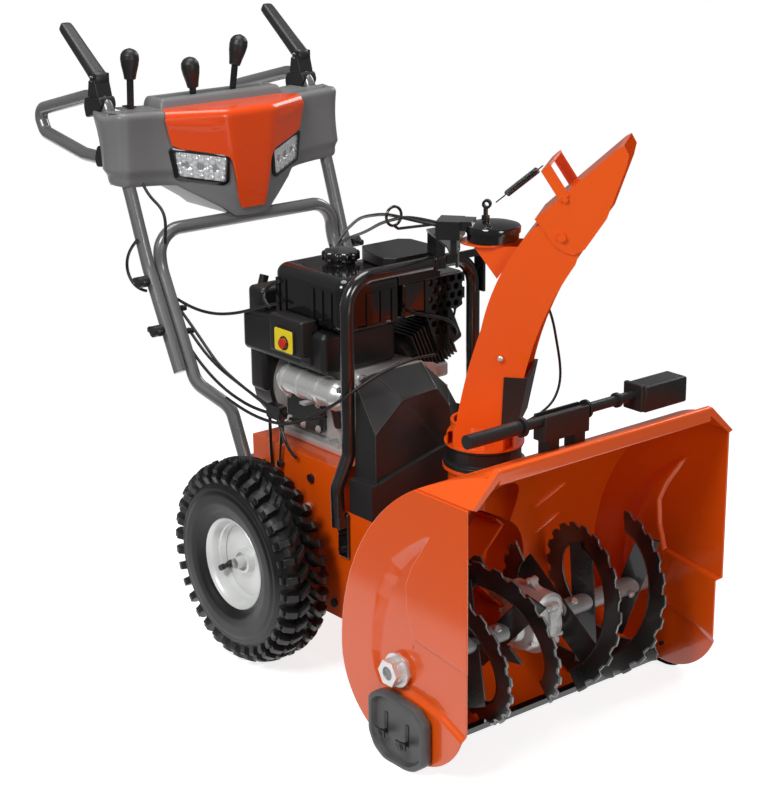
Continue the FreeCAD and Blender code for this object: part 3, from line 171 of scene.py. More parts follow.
def makeSurfaceMarks():
    # cloudy colour change, fine grain for the bump and a roughness that wanders with the clouds
    group = bpy.data.node_groups.new("surfaceMarks", "ShaderNodeTree")
    groupSocket(group, "Base Color", "NodeSocketColor", (0.5, 0.5, 0.5, 1))
    groupSocket(group, "Patch Color", "NodeSocketColor", (0.4, 0.4, 0.4, 1))
    groupSocket(group, "Patch Scale", "NodeSocketFloat", 6)
    groupSocket(group, "Patch Amount", "NodeSocketFloat", 0.3)
    groupSocket(group, "Grain Scale", "NodeSocketFloat", 400)
    groupSocket(group, "Smooth", "NodeSocketFloat", 0.3)
    groupSocket(group, "Rough", "NodeSocketFloat", 0.4)
    groupSocket(group, "Color", "NodeSocketColor", out=True)
    groupSocket(group, "Roughness", "NodeSocketFloat", out=True)
    groupSocket(group, "Height", "NodeSocketFloat", out=True)
    node = group.nodes.new
    link = group.links.new
    given = node("NodeGroupInput")
    out = node("NodeGroupOutput")
    spot = node("ShaderNodeTexCoord")
    cloud = node("ShaderNodeTexNoise")
    cloud.inputs["Detail"].default_value = 5
    grain = node("ShaderNodeTexNoise")
    grain.inputs["Detail"].default_value = 3
    ramp = node("ShaderNodeMapRange")
    ramp.inputs["From Min"].default_value = 0.35
    ramp.inputs["From Max"].default_value = 0.7
    amount = node("ShaderNodeMath")
    amount.operation = "MULTIPLY"
    mix = node("ShaderNodeMix")
    mix.data_type = "RGBA"
    rough = node("ShaderNodeMapRange")
    rough.inputs["From Min"].default_value = 0.3
    rough.inputs["From Max"].default_value = 0.7
    for noise in (cloud, grain):
        link(spot.outputs["Object"], noise.inputs["Vector"])
    link(given.outputs["Patch Scale"], cloud.inputs["Scale"])
    link(given.outputs["Grain Scale"], grain.inputs["Scale"])
    link(cloud.outputs["Fac"], ramp.inputs["Value"])
    link(ramp.outputs["Result"], amount.inputs[0])
    link(given.outputs["Patch Amount"], amount.inputs[1])
    link(amount.outputs[0], mix.inputs["Factor"])
    link(given.outputs["Base Color"], mix.inputs["A"])
    link(given.outputs["Patch Color"], mix.inputs["B"])
    link(cloud.outputs["Fac"], rough.inputs["Value"])
    link(given.outputs["Smooth"], rough.inputs["To Min"])
    link(given.outputs["Rough"], rough.inputs["To Max"])
    link(mix.outputs["Result"], out.inputs["Color"])
    link(rough.outputs["Result"], out.inputs["Roughness"])
    link(grain.outputs["Fac"], out.inputs["Height"])
    return group


surfaceMarks = makeSurfaceMarks()


def makeFinish(name, base, patch, patchScale=5, patchAmount=0.3, grainScale=350, grainDepth=0.1, smooth=0.3,
               rough=0.4, metallic=0.0, coat=0.0, coatRoughness=0.05, specular=0.5, bumpDistance=0.0006):
    # smooth and rough are the ends between which the roughness wanders
    material = bpy.data.materials.new(name)
    material.use_nodes = True
    tree = material.node_tree
    shader = tree.nodes["Principled BSDF"]
    marks = tree.nodes.new("ShaderNodeGroup")
    marks.node_tree = surfaceMarks
    bump = tree.nodes.new("ShaderNodeBump")
    for socket, value in (("Base Color", (*base, 1)), ("Patch Color", (*patch, 1)),
                          ("Patch Scale", patchScale), ("Patch Amount", patchAmount),
                          ("Grain Scale", grainScale), ("Smooth", smooth), ("Rough", rough)):
        marks.inputs[socket].default_value = value
    shader.inputs["Metallic"].default_value = metallic
    shader.inputs["Coat Weight"].default_value = coat
    shader.inputs["Coat Roughness"].default_value = coatRoughness
    shader.inputs["Specular IOR Level"].default_value = specular
    bump.inputs["Strength"].default_value = grainDepth
    bump.inputs["Distance"].default_value = bumpDistance
    tree.links.new(marks.outputs["Color"], shader.inputs["Base Color"])
    tree.links.new(marks.outputs["Roughness"], shader.inputs["Roughness"])
    tree.links.new(marks.outputs["Height"], bump.inputs["Height"])
    tree.links.new(bump.outputs["Normal"], shader.inputs["Normal"])
    return material


finishSet = {
    "orangePaint": {"base": (0.86, 0.1, 0.002), "patch": (0.82, 0.09, 0.002), "patchScale": 3,
                    "patchAmount": 0.5, "grainScale": 60, "grainDepth": 0.04, "smooth": 0.28, "rough": 0.36,
                    "coat": 0.7, "coatRoughness": 0.07, "specular": 0.35},
    "orangePlastic": {"base": (0.82, 0.07, 0.002), "patch": (0.76, 0.06, 0.002), "patchScale": 4,
                      "patchAmount": 0.5, "grainScale": 500, "grainDepth": 0.04, "smooth": 0.22,
                      "rough": 0.3, "coat": 0.4, "specular": 0.4},
    "blackPaint": {"base": (0.008, 0.008, 0.008), "patch": (0.014, 0.014, 0.014), "patchScale": 8,
                   "patchAmount": 0.5, "grainScale": 240, "grainDepth": 0.05, "smooth": 0.16, "rough": 0.26,
                   "coat": 0.8},
    "augerPaint": {"base": (0.012, 0.012, 0.012), "patch": (0.026, 0.026, 0.025), "patchScale": 14,
                   "patchAmount": 0.6, "grainScale": 200, "grainDepth": 0.12, "smooth": 0.26, "rough": 0.4,
                   "coat": 0.4},
    # a lighter, part-metallic grey for the auger flights' cut edges
    "lighterRim": {"base": (0.3, 0.3, 0.31), "patch": (0.12, 0.12, 0.12), "patchScale": 60,
                 "patchAmount": 0.8, "grainScale": 600, "grainDepth": 0.3, "smooth": 0.25, "rough": 0.45,
                 "metallic": 0.6},
    "greyTube": {"base": (0.17, 0.17, 0.172), "patch": (0.2, 0.2, 0.2), "patchScale": 7, "patchAmount": 0.4,
                 "grainScale": 900, "grainDepth": 0.08, "smooth": 0.24, "rough": 0.32, "metallic": 0.3,
                 "coat": 0.5},
    "wheelSilver": {"base": (0.84, 0.85, 0.84), "patch": (0.78, 0.79, 0.78), "patchScale": 9,
                    "patchAmount": 0.4, "grainScale": 500, "grainDepth": 0.06, "smooth": 0.32,
                    "rough": 0.42, "metallic": 0.25, "coat": 0.2},
    "greyPlastic": {"base": (0.17, 0.171, 0.174), "patch": (0.2, 0.201, 0.205), "patchScale": 5,
                    "patchAmount": 0.4, "grainScale": 700, "grainDepth": 0.12, "smooth": 0.3,
                    "rough": 0.42},
    "shoePlastic": {"base": (0.075, 0.076, 0.078), "patch": (0.095, 0.096, 0.1), "patchScale": 12,
                    "patchAmount": 0.5, "grainScale": 600, "grainDepth": 0.2, "smooth": 0.4, "rough": 0.5},
    "blackPlastic": {"base": (0.011, 0.011, 0.011), "patch": (0.017, 0.017, 0.017), "patchScale": 6,
                     "patchAmount": 0.5, "grainScale": 600, "grainDepth": 0.12, "smooth": 0.34,
                     "rough": 0.46},
    "softBlack": {"base": (0.018, 0.018, 0.018), "patch": (0.026, 0.026, 0.026), "patchScale": 8,
                  "patchAmount": 0.5, "grainScale": 800, "grainDepth": 0.05, "smooth": 0.32, "rough": 0.44},
    "glossPlastic": {"base": (0.006, 0.006, 0.006), "patch": (0.01, 0.01, 0.01), "patchScale": 6,
                     "patchAmount": 0.4, "grainScale": 500, "grainDepth": 0.03, "smooth": 0.1,
                     "rough": 0.18, "coat": 0.4},
    "redPlastic": {"base": (0.6, 0.02, 0.01), "patch": (0.5, 0.015, 0.008), "patchScale": 20,
                   "patchAmount": 0.4, "grainScale": 500, "grainDepth": 0.05, "smooth": 0.25,
                   "rough": 0.35},
    "yellowPlate": {"base": (0.86, 0.68, 0.01), "patch": (0.8, 0.62, 0.01), "patchScale": 20,
                    "patchAmount": 0.3, "grainScale": 400, "grainDepth": 0.05, "smooth": 0.35,
                    "rough": 0.45},
    "castMetal": {"base": (0.78, 0.78, 0.77), "patch": (0.52, 0.52, 0.51), "patchScale": 16,
                  "patchAmount": 0.7, "grainScale": 260, "grainDepth": 0.4, "smooth": 0.34, "rough": 0.5,
                  "metallic": 0.45, "bumpDistance": 0.001},
    "brightMetal": {"base": (0.8, 0.8, 0.79), "patch": (0.62, 0.62, 0.62), "patchScale": 12,
                    "patchAmount": 0.5, "grainScale": 700, "grainDepth": 0.08, "smooth": 0.24,
                    "rough": 0.36, "metallic": 0.6},
    "shaftSteel": {"base": (0.34, 0.34, 0.34), "patch": (0.26, 0.26, 0.26), "patchScale": 20,
                   "patchAmount": 0.7, "grainScale": 400, "grainDepth": 0.2, "smooth": 0.36, "rough": 0.5,
                   "metallic": 0.4},
    "blackFins": {"base": (0.028, 0.028, 0.028), "patch": (0.06, 0.06, 0.06), "patchScale": 30,
                  "patchAmount": 0.6, "grainScale": 300, "grainDepth": 0.2, "smooth": 0.28, "rough": 0.42,
                  "metallic": 0.2, "coat": 0.3},
    "tyreRubber": {"base": (0.006, 0.006, 0.006), "patch": (0.011, 0.011, 0.011), "patchScale": 12,
                   "patchAmount": 0.6, "grainScale": 420, "grainDepth": 0.2, "smooth": 0.34, "rough": 0.5},
    "blackRubber": {"base": (0.009, 0.009, 0.009), "patch": (0.015, 0.015, 0.015), "patchScale": 18,
                    "patchAmount": 0.5, "grainScale": 500, "grainDepth": 0.15, "smooth": 0.34,
                    "rough": 0.5},
    # painted edge highlight: a lighter grey for the beads along the belt cover's edges
    "paintedEdgeHighlight": {"base": (0.05, 0.05, 0.05), "patch": (0.03, 0.03, 0.03), "patchScale": 20,
                  "patchAmount": 0.5, "grainScale": 500, "grainDepth": 0.05, "smooth": 0.25, "rough": 0.35,
                  "coat": 0.5},
    "lampSilver": {"base": (0.92, 0.93, 0.95), "patch": (0.7, 0.71, 0.73), "patchScale": 40,
                   "patchAmount": 0.4, "grainScale": 300, "grainDepth": 0.05, "smooth": 0.1, "rough": 0.25,
                   "metallic": 0.55},
    "clearLens": {"base": (0.85, 0.88, 0.92), "patch": (0.8, 0.83, 0.88), "patchScale": 20,
                  "patchAmount": 0.3, "grainScale": 200, "grainDepth": 0.02, "smooth": 0.03, "rough": 0.06,
                  "coat": 1.0},
}
lensAlpha = 0.16
finishes = {name: makeFinish(name, **s) for name, s in finishSet.items()}
finishes["clearLens"].node_tree.nodes["Principled BSDF"].inputs["Alpha"].default_value = lensAlpha
print("finishes are made")


# shape helpers
def gridFaces(rows, cols, closeRows, closeCols):
    # every cell of the grid as four corner numbers
    a = np.arange(rows if closeRows else rows - 1)[:, None]
    b = np.arange(cols if closeCols else cols - 1)[None, :]
    nextA, nextB = (a + 1) % rows, (b + 1) % cols
    corners = [a * cols + b, a * cols + nextB, nextA * cols + nextB, nextA * cols + b]
    return np.stack(corners, axis=-1).reshape(-1, 4)


def surface(name, points, closeRows=False, closeCols=False, capEnds=False, angle=35, outward=None):
    # points is rows x cols x 3 in metres; an open sheet faces the outward direction
    points = np.asarray(points, float)
    rows, cols = points.shape[:2]
    faces = gridFaces(rows, cols, closeRows, closeCols).tolist()
    if capEnds:
        faces.append(list(range(cols))[::-1])
        faces.append(list(range((rows - 1) * cols, rows * cols)))
    mesh = bpy.data.meshes.new(name)
    mesh.from_pydata(points.reshape(-1, 3), [], faces)
    return finishMesh(name, mesh, angle, outward)


def finishMesh(name, mesh, angle=35, outward=None):
    # doubles are merged and faces made to agree; an open sheet is turned over if most of it faces inwards
    work = bmesh.new()
    work.from_mesh(mesh)
    bmesh.ops.remove_doubles(work, verts=work.verts, dist=1e-6)
    bmesh.ops.recalc_face_normals(work, faces=work.faces)
    if outward is not None:
        total = Vector((0, 0, 0))
        for face in work.faces:
            total += face.normal * face.calc_area()
        if total.dot(Vector(outward)) < 0:
            bmesh.ops.reverse_faces(work, faces=work.faces)
    work.to_mesh(mesh)
    work.free()
    piece = bpy.data.objects.new(name, mesh)
    bpy.context.scene.collection.objects.link(piece)
    return smoothed(piece, angle)


def smoothed(piece, angle=35):
    # smooth shading with sharp edges wherever two faces meet at more than the angle
    mesh = piece.data
    mesh.polygons.foreach_set("use_smooth", [True] * len(mesh.polygons))
    mesh.set_sharp_from_angle(angle=math.radians(angle))
    return piece


def dress(piece, finish, body, *replaced, slot=None):
    # finish, body and the CAD nodes it stands for; the record's material slot is not used
    piece.data.materials.clear()
    piece.data.materials.append(finishes[finish])
    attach(piece, body)
    if replaced:
        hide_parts(*replaced)
    return piece


def bevelled(piece, width, angle=32):
    # rounds every edge sharper than the angle; width in mm
    edge = piece.modifiers.new("edges", "BEVEL")
    edge.width = width / 1000
    edge.segments = 2
    edge.limit_method = "ANGLE"
    edge.angle_limit = math.radians(angle)
    edge.harden_normals = True
    return piece


def solidified(piece, thick, bevel=0.0):
    # a wall grown inwards from the sheet; thickness in mm
    wall = piece.modifiers.new("wall", "SOLIDIFY")
    wall.thickness = thick / 1000
    wall.offset = -1
    if bevel:
        bevelled(piece, bevel)
    return piece


def softened(node, finish, width):
    # a CAD node's own shape with its edges rounded, for moulded and pressed parts
    mesh = nodes[node].data.copy()
    work = bmesh.new()
    work.from_mesh(mesh)
    bmesh.ops.remove_doubles(work, verts=work.verts, dist=1e-5)
    bmesh.ops.dissolve_limit(work, angle_limit=math.radians(0.4), verts=work.verts, edges=work.edges)
    work.to_mesh(mesh)
    work.free()
    piece = bpy.data.objects.new(node + "Soft", mesh)
    bpy.context.scene.collection.objects.link(piece)
    bevelled(smoothed(piece, 32), width)
    return dress(piece, finish, nodes[node]["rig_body"], node)


def circle(count, start=0.0):
    # cos and sin at evenly spaced turns
    turn = start + np.arange(count) * 2 * math.pi / count
    return np.cos(turn), np.sin(turn)


def arcAbout(centre, radius, turn):
    # flat points about a centre, at the given turns
    return np.stack([centre[0] + radius * np.cos(turn), centre[1] + radius * np.sin(turn)], axis=-1)


def turnedShape(name, profile, axis, centre, count=64, closeProfile=False, angle=35, start=0.0):
    # profile holds (along, radius) in mm; each point is carried round the axis through centre
    profile = np.asarray(profile, float)
    c, s = circle(count, start)
    along = np.repeat(profile[:, :1], count, axis=1)
    a = profile[:, 1:] * c
    b = profile[:, 1:] * s
    order = {"x": (along, a, b), "y": (b, along, a), "z": (a, b, along)}[axis]
    points = np.stack(order, axis=-1) + np.asarray(centre, float)
    return surface(name, placed(points), closeRows=closeProfile, closeCols=True, capEnds=not closeProfile,
                   angle=angle)


def sweptShape(name, path, section, sideways=(1, 0, 0), angle=35):
    # section holds (across, up) for each path point; across lies near the sideways direction
    path = np.asarray(path, float)
    ahead = np.roll(path, -1, axis=0) - np.roll(path, 1, axis=0)
    ahead[0] = path[1] - path[0]
    ahead[-1] = path[-1] - path[-2]
    ahead /= np.linalg.norm(ahead, axis=1, keepdims=True)
    up = np.cross(np.asarray(sideways, float)[None, :], ahead)
    up /= np.linalg.norm(up, axis=1, keepdims=True)
    across = np.cross(ahead, up)
    section = np.asarray(section, float)
    if section.ndim == 2:
        section = np.repeat(section[None], len(path), axis=0)
    points = path[:, None] + across[:, None] * section[..., :1] + up[:, None] * section[..., 1:]
    return surface(name, placed(points), closeCols=True, capEnds=True, angle=angle)


def roundSection(radius, count=16):
    # a circle as (across, up)
    c, s = circle(count)
    return np.stack([radius * c, radius * s], axis=-1)


def taperedRound(girth, count=16):
    # a circle for every path point, with the radius that girth holds for it
    return roundSection(1, count)[None] * girth[:, None, None]


def spacedLine(points, count, closed=False):
    # the same line with evenly spaced points
    points = np.asarray(points, float)
    if closed:
        points = np.vstack([points, points[:1]])
    along = np.r_[0, np.cumsum(np.linalg.norm(np.diff(points, axis=0), axis=1))]
    walk = np.linspace(0, along[-1], count, endpoint=not closed)
    return np.stack([np.interp(walk, along, points[:, k]) for k in range(points.shape[1])], axis=-1)


def roundedLine(points, cuts, count, closed=False):
    # every corner turns into a parabola that starts and ends a set length from it
    points = np.asarray(points, float)
    if closed:
        points = np.vstack([points[-1:], points, points[:1]])
    t = np.linspace(0, 1, 10)[:, None]
    dense = [] if closed else [points[:1]]
    for before, corner, after, cut in zip(points, points[1:], points[2:], cuts):
        into = corner + (before - corner) * min(0.5, cut / np.linalg.norm(before - corner))
        out = corner + (after - corner) * min(0.5, cut / np.linalg.norm(after - corner))
        dense.append((1 - t) ** 2 * into + 2 * t * (1 - t) * corner + t ** 2 * out)
    if not closed:
        dense.append(points[-1:])
    return spacedLine(np.vstack(dense), count, closed)


def slab(name, outline, plane, low, high, bevel=1.0, angle=32):
    # a flat outline in one plane carried from low to high along the third axis
    outline = np.asarray(outline, float)
    ends = [np.insert(outline, {"YZ": 0, "XZ": 1, "XY": 2}[plane], level, axis=1) for level in (low, high)]
    piece = surface(name, placed(np.array(ends)), closeCols=True, capEnds=True, angle=angle)
    return bevelled(piece, bevel, angle=angle) if bevel else piece


def boxOutline(a0, a1, b0, b1):
    # four corners, from the low ends round
    return [(a0, b0), (a1, b0), (a1, b1), (a0, b1)]


def rodBetween(name, start, end, radius):
    # a straight round rod
    path = np.linspace(np.asarray(start, float), np.asarray(end, float), 3)
    lean = np.abs(path[-1] - path[0])
    sideways = (0, 1, 0) if lean[0] > lean[1] else (1, 0, 0)
    return sweptShape(name, path, roundSection(radius, 14), sideways=sideways)


def cableCurve(name, route, radius):
    # a smooth round cable on a NURBS line whose control points are the route
    curve = bpy.data.curves.new(name, "CURVE")
    curve.dimensions = "3D"
    curve.bevel_depth = radius / 1000
    curve.bevel_resolution = 4
    curve.use_fill_caps = True
    line = curve.splines.new("NURBS")
    line.points.add(len(route) - 1)
    line.points.foreach_set("co", np.c_[placed(route), np.ones(len(route))].ravel())
    line.order_u = 4
    line.use_endpoint_u = True
    line.resolution_u = 12
    piece = bpy.data.objects.new(name, curve)
    bpy.context.scene.collection.objects.link(piece)
    return piece


def joined(name, pieces, angle=35):
    # several meshes made one, with their places kept in the mesh
    work = bmesh.new()
    for piece in pieces:
        work.from_mesh(piece.data)
        bpy.data.objects.remove(piece)
    mesh = bpy.data.meshes.new(name)
    work.to_mesh(mesh)
    work.free()
    piece = bpy.data.objects.new(name, mesh)
    bpy.context.scene.collection.objects.link(piece)
    return smoothed(piece, angle)


def bolts(name, spots, axis, radius, height, washer=0.0):
    # hexagon heads with a chamfered top, and a thin washer under each if asked
    made = []
    for spot in spots:
        head = [(0, radius), (height * 0.8, radius), (height, radius * 0.78)]
        made.append(turnedShape("head", head, axis, spot, 6, angle=20, start=0.3))
        if washer:
            way = np.sign(height)
            flat = [(-0.4 * way, washer), (1.6 * way, washer), (1.9 * way, washer - 0.6)]
            made.append(turnedShape("washer", flat, axis, spot, 24, angle=30))
    return joined(name, made, 20)


# wheels
tyreSet = {"axleZ": 195, "midX": 251, "halfWidth": 54, "lugs": 34, "stations": 1088, "sectionPoints": 88,
           "lugStart": 156, "lugHeight": 9, "barWidth": 0.23, "blockExtra": 0.03, "barSlope": 0.035,
           "cutsAt": (0.42, 0.74), "cutDepth": 5, "topRadius": 195, "xLimits": (-305, -190),
           "profile": [(-206, 80), (-200, 84), (-197.5, 92), (-196.5, 104), (-196.5, 120), (-197, 134),
                       (-200, 148), (-206, 159), (-214, 168), (-224, 173), (-236, 176), (-250, 177),
                       (-264, 176.5), (-278, 174), (-288, 169), (-296, 160), (-301.5, 148), (-304.5, 134),
                       (-304.5, 120), (-301, 104), (-295, 92), (-289, 85), (-280, 80)]}


def makeTyre(side, s):
    # the section is resampled evenly and carried round; hooked bars rise square off the crown and end as
    # blocks on the shoulders
    across, radius = spacedLine(s["profile"], s["sectionPoints"]).T
    offset = across + s["midX"]
    normalA = np.gradient(radius)
    normalR = -np.gradient(across)
    size = np.hypot(normalA, normalR)
    turn = np.arange(s["stations"]) / s["stations"] * s["lugs"]
    half = np.clip(np.abs(offset) / s["halfWidth"], 0, 1)[:, None]
    row = np.sign(offset)[:, None]
    # a bar hooks back on its way out, and the two rows stand half a lug apart
    hook = 0.5 * np.clip(half - 0.08, 0, 0.3) / 0.3 + 0.16 * np.clip(half - 0.38, 0, 1)
    phase = (turn[None, :] + 0.25 * row - hook) % 1.0
    wide = s["barWidth"] + s["blockExtra"] * (half > 0.7)
    bar = np.clip((wide - np.abs(phase - 0.5)) / s["barSlope"], 0, 1)
    reach = np.clip((radius[:, None] - s["lugStart"]) / 4, 0, 1)
    centreGap = np.clip((np.abs(offset)[:, None] - 3) / 2, 0, 1)
    crown = np.clip((radius[:, None] - s["lugStart"]) / 12, 0, 1)
    lug = bar * reach * centreGap * (s["lugHeight"] + s["lugHeight"] * crown)
    cut = sum(np.clip((0.035 - np.abs(half - at)) / 0.01, 0, 1) for at in s["cutsAt"])
    lug = lug - s["cutDepth"] * cut * (lug > 6)
    # two raised rings and a groove on the sidewalls
    ring = 2.2 * np.exp(-((radius - 148) / 2.6) ** 2)
    ring = ring + 1.2 * np.clip((radius - 100) / 3, 0, 1) * (radius < 138)
    groove = 2.4 * np.exp(-((radius - 93) / 2.0) ** 2)
    lift = lug + (ring - groove)[:, None] * np.clip((np.abs(offset)[:, None] - 30) / 10, 0, 1)
    x = np.clip(across[:, None] + (normalA / size)[:, None] * lift * 0.8, *s["xLimits"])
    r = np.minimum(radius[:, None] + (normalR / size)[:, None] * lift, s["topRadius"])
    angle = turn / s["lugs"] * 2 * math.pi
    y = r * np.cos(angle)[None, :]
    z = r * np.sin(angle)[None, :] + s["axleZ"]
    points = np.stack([x * side, y, z], axis=-1)
    word = sideWord(side)
    tyre = surface("treadedTyre" + word, placed(points), closeCols=True, angle=34)
    return dress(tyre, "tyreRubber", "wheels", "tyre_" + word.lower(), slot="tyre_rubber")


rimSet = {"axle": (0, 0, 195),
          "flange": [(-291, 84), (-293, 86.5), (-291, 88.5), (-286, 88), (-284, 84), (-272, 78), (-262, 74),
                     (-256, 72), (-260, 68), (-266, 70.5), (-270, 72), (-272, 75), (-284, 78.5),
                     (-289, 81)],
          "dish": [(-258, 70), (-254, 66), (-252, 62), (-253, 56), (-250, 52), (-242, 50), (-240, 46),
                   (-241, 38), (-246, 34), (-246, 28), (-243, 25), (-252, 24), (-272, 23), (-273, 21.5),
                   (-273, 18), (-264, 17), (-264, 12), (-286, 11), (-286, 0.5), (-232, 0.5), (-232, 58),
                   (-246, 72), (-238, 76), (-226, 76), (-210, 81), (-198, 84), (-196, 90), (-193, 90),
                   (-194, 82), (-208, 77), (-224, 72), (-255, 73)], "valveX": -256, "valveRadius": 60,
          "valveTurn": {"Left": -24, "Right": 156}, "valveReach": (-30, -4, -1),
          "stemGirth": ([0, 0.3, 0.36, 0.66, 0.68, 1], [7.5, 7.0, 4.6, 4.6, 5.8, 5.8]), "nutX": -286,
          "nutRadius": 7, "nutHeight": 5, "washer": 10}


def makeRim(side, s):
    # pressed two-piece rim turned on the axle: rolled flange, stepped barrel, dished centre and a ring hub
    word = sideWord(side)
    flange = turnedShape("rimFlange", np.array(s["flange"]) * (side, 1), "x", s["axle"], 96,
                         closeProfile=True)
    dish = turnedShape("rimDish", np.array(s["dish"]) * (side, 1), "x", s["axle"], 96)
    whole = joined("pressedRim" + word, [flange, dish])
    dress(whole, "wheelSilver", "wheels", "rim_" + word.lower(), slot="silver_paint")
    turn = math.radians(s["valveTurn"][word])
    foot = np.array((s["valveX"] * side, s["valveRadius"] * math.cos(turn),
                     s["axle"][2] + s["valveRadius"] * math.sin(turn)))
    out, back, down = s["valveReach"]
    tip = foot + (out * side, back, down)
    share = np.linspace(0, 1, 14)[:, None]
    girth = np.interp(share[:, 0], *s["stemGirth"])
    stem = sweptShape("valve" + word, foot + (tip - foot) * share, taperedRound(girth), sideways=(0, 1, 0))
    dress(stem, "blackRubber", "wheels", slot="rubber")
    nut = bolts("hubNut" + word, [(s["nutX"] * side, 0, s["axle"][2])], "x", s["nutRadius"],
                -s["nutHeight"] * side, s["washer"])
    dress(nut, "shaftSteel", "wheels", slot="bright_steel")


for side in (1, -1):
    makeTyre(side, tyreSet)
    makeRim(side, rimSet)
print("wheels are made")

# auger
augerSet = {"centre": (-497, 165), "pitch": 223, "inner": 104, "outer": 146, "steel": 4, "teeth": 23,
            "toothDepth": 8, "stations": 620,
            # first turn, last turn and first x of each ribbon
            "left": [(-50, 290, 40), (130, 470, 40)], "right": [(-55, 300, 38), (125, 455, 38)],
            # x and turn of each spoke
            "leftSpokes": [(-64, 46), (-140, 8), (-150, 100)],
            "rightSpokes": [(-66, 145), (-250, 68), (-130, 95)],
            "spokeOutline": [(-21, -112), (21, -116), (21, 112), (-21, 116)], "spokeHalf": 2.5,
            "spokeTwist": 30,
            "sleeve": [(-296, 12.2), (-296, 17), (-66, 17), (-66, 12.2)],
            "pinsAt": (92, 232), "pinTurn": 40, "pinStep": 70}


def makeRibbon(name, s, start, end, startX, flip):
    # angle runs from the front up over the top; every tooth is a flat-topped bump between two scooped dips
    angle = np.linspace(start, end, s["stations"])
    tooth = (angle / 360 * s["teeth"]) % 1.0
    step = np.interp(tooth, [0, 0.06, 0.4, 0.55, 1], [0, 1, 0.75, 0, 0])
    edge = s["outer"] - s["toothDepth"] * np.clip(step, 0, 1)
    share = np.linspace(0, 1, 9)[None, :]
    radius = s["inner"] + (edge[:, None] - s["inner"]) * share
    turn = np.radians(angle)[:, None]
    x = (-startX - s["pitch"] * (angle - start) / 360)[:, None] + 0 * radius
    y = s["centre"][0] - radius * np.cos(turn)
    z = s["centre"][1] + radius * np.sin(turn)
    piece = surface(name, placed(np.stack([x * flip, y, z], axis=-1)), angle=60)
    plate = piece.modifiers.new("thickness", "SOLIDIFY")
    plate.thickness = s["steel"] / 1000
    plate.offset = 0
    plate.use_rim = True
    plate.material_offset_rim = 1
    return piece


def spokeTurn(s, x, turn, flip):
    # from the origin: twist about its length, turn about the shaft and move out along it
    twist = Matrix.Rotation(math.radians(s["spokeTwist"]), 4, "Z")
    swing = Matrix.Rotation(math.radians(90 - turn), 4, "X")
    lift = Matrix.Translation((0, -shiftY, 0))
    return Matrix.Translation(place(x * flip, *s["centre"])) @ swing @ twist @ lift


def turnedAboutAuger(s, piece, turn):
    # spins a piece about the shaft's line
    middle = Vector(place(0, *s["centre"]))
    spin = Matrix.Rotation(math.radians(turn), 4, "X")
    piece.data.transform(Matrix.Translation(middle) @ spin @ Matrix.Translation(-middle))
    return piece


def makeShearPin(s, name, x, turn):
    # a bolt right through the sleeve, with a hexagon head and nut
    spot = (x, *s["centre"])
    parts = [turnedShape("shank", [(-22, 3.6), (23, 3.6)], "z", spot, 16)]
    for part, profile in (("pinHead", [(19, 7), (24, 7), (25, 6)]),
                          ("pinNut", [(-19, 7), (-24, 7), (-25, 6)])):
        parts.append(turnedShape(part, profile, "z", spot, 6, angle=20))
    pin = joined("pin", parts)
    pin.name = name
    return dress(turnedAboutAuger(s, pin, turn), "brightMetal", "auger_rotor", slot="bright_steel")


def makeAuger(s):
    # on each half of the shaft: two ribbons, three spokes, a sleeve and its two shear pins
    for side, flip in (("left", 1), ("right", -1)):
        word = side.title()
        for number, (start, end, startX) in enumerate(s[side]):
            ribbon = makeRibbon(f"ribbon{word}{number}", s, start, end, startX, flip)
            replaced = [f"auger_flight_{side}"] if number == 0 else []
            dress(ribbon, "augerPaint", "auger_rotor", *replaced, slot="auger_steel")
            # the plate's rim faces take the lighter grey
            ribbon.data.materials.append(finishes["lighterRim"])
        for number, (x, turn) in enumerate(s[side + "Spokes"]):
            bar = slab(f"spoke{word}{number}", s["spokeOutline"], "YZ", -s["spokeHalf"], s["spokeHalf"], 0.8)
            bar.data.transform(spokeTurn(s, x, turn, flip))
            dress(bar, "augerPaint", "auger_rotor", slot="auger_steel")
        sleeve = turnedShape(f"sleeve{word}", np.array(s["sleeve"]) * (flip, 1), "x", (0, *s["centre"]), 40,
                             closeProfile=True)
        dress(sleeve, "shaftSteel", "auger_rotor", slot="auger_steel")
        for number, x in enumerate(s["pinsAt"]):
            makeShearPin(s, f"shearPin{word}{number}", -x * flip, s["pinTurn"] + s["pinStep"] * number)


gearboxSet = {"drum": [(-52, 15), (-52, 22), (-49, 24), (-40, 26), (-36, 40), (-34, 43.5), (-26, 46),
                       (-9, 47), (-7, 57), (7, 57), (9, 47), (26, 46), (34, 43.5), (36, 40), (40, 26),
                       (49, 24), (52, 22), (52, 15)],
              "worm": [(-50, 14), (-50, 26), (-46, 32), (40, 32), (46, 24), (88, 22), (90, 20)],
              "wormZ": 201, "flangeRadius": 58, "lobe": 11, "flangeHalf": 7.5, "lift": 14, "boltCircle": 63,
              "ribTurns": (0.4, 2.6, 3.6, 5.6), "ribRadius": 44, "ribHalf": 38}


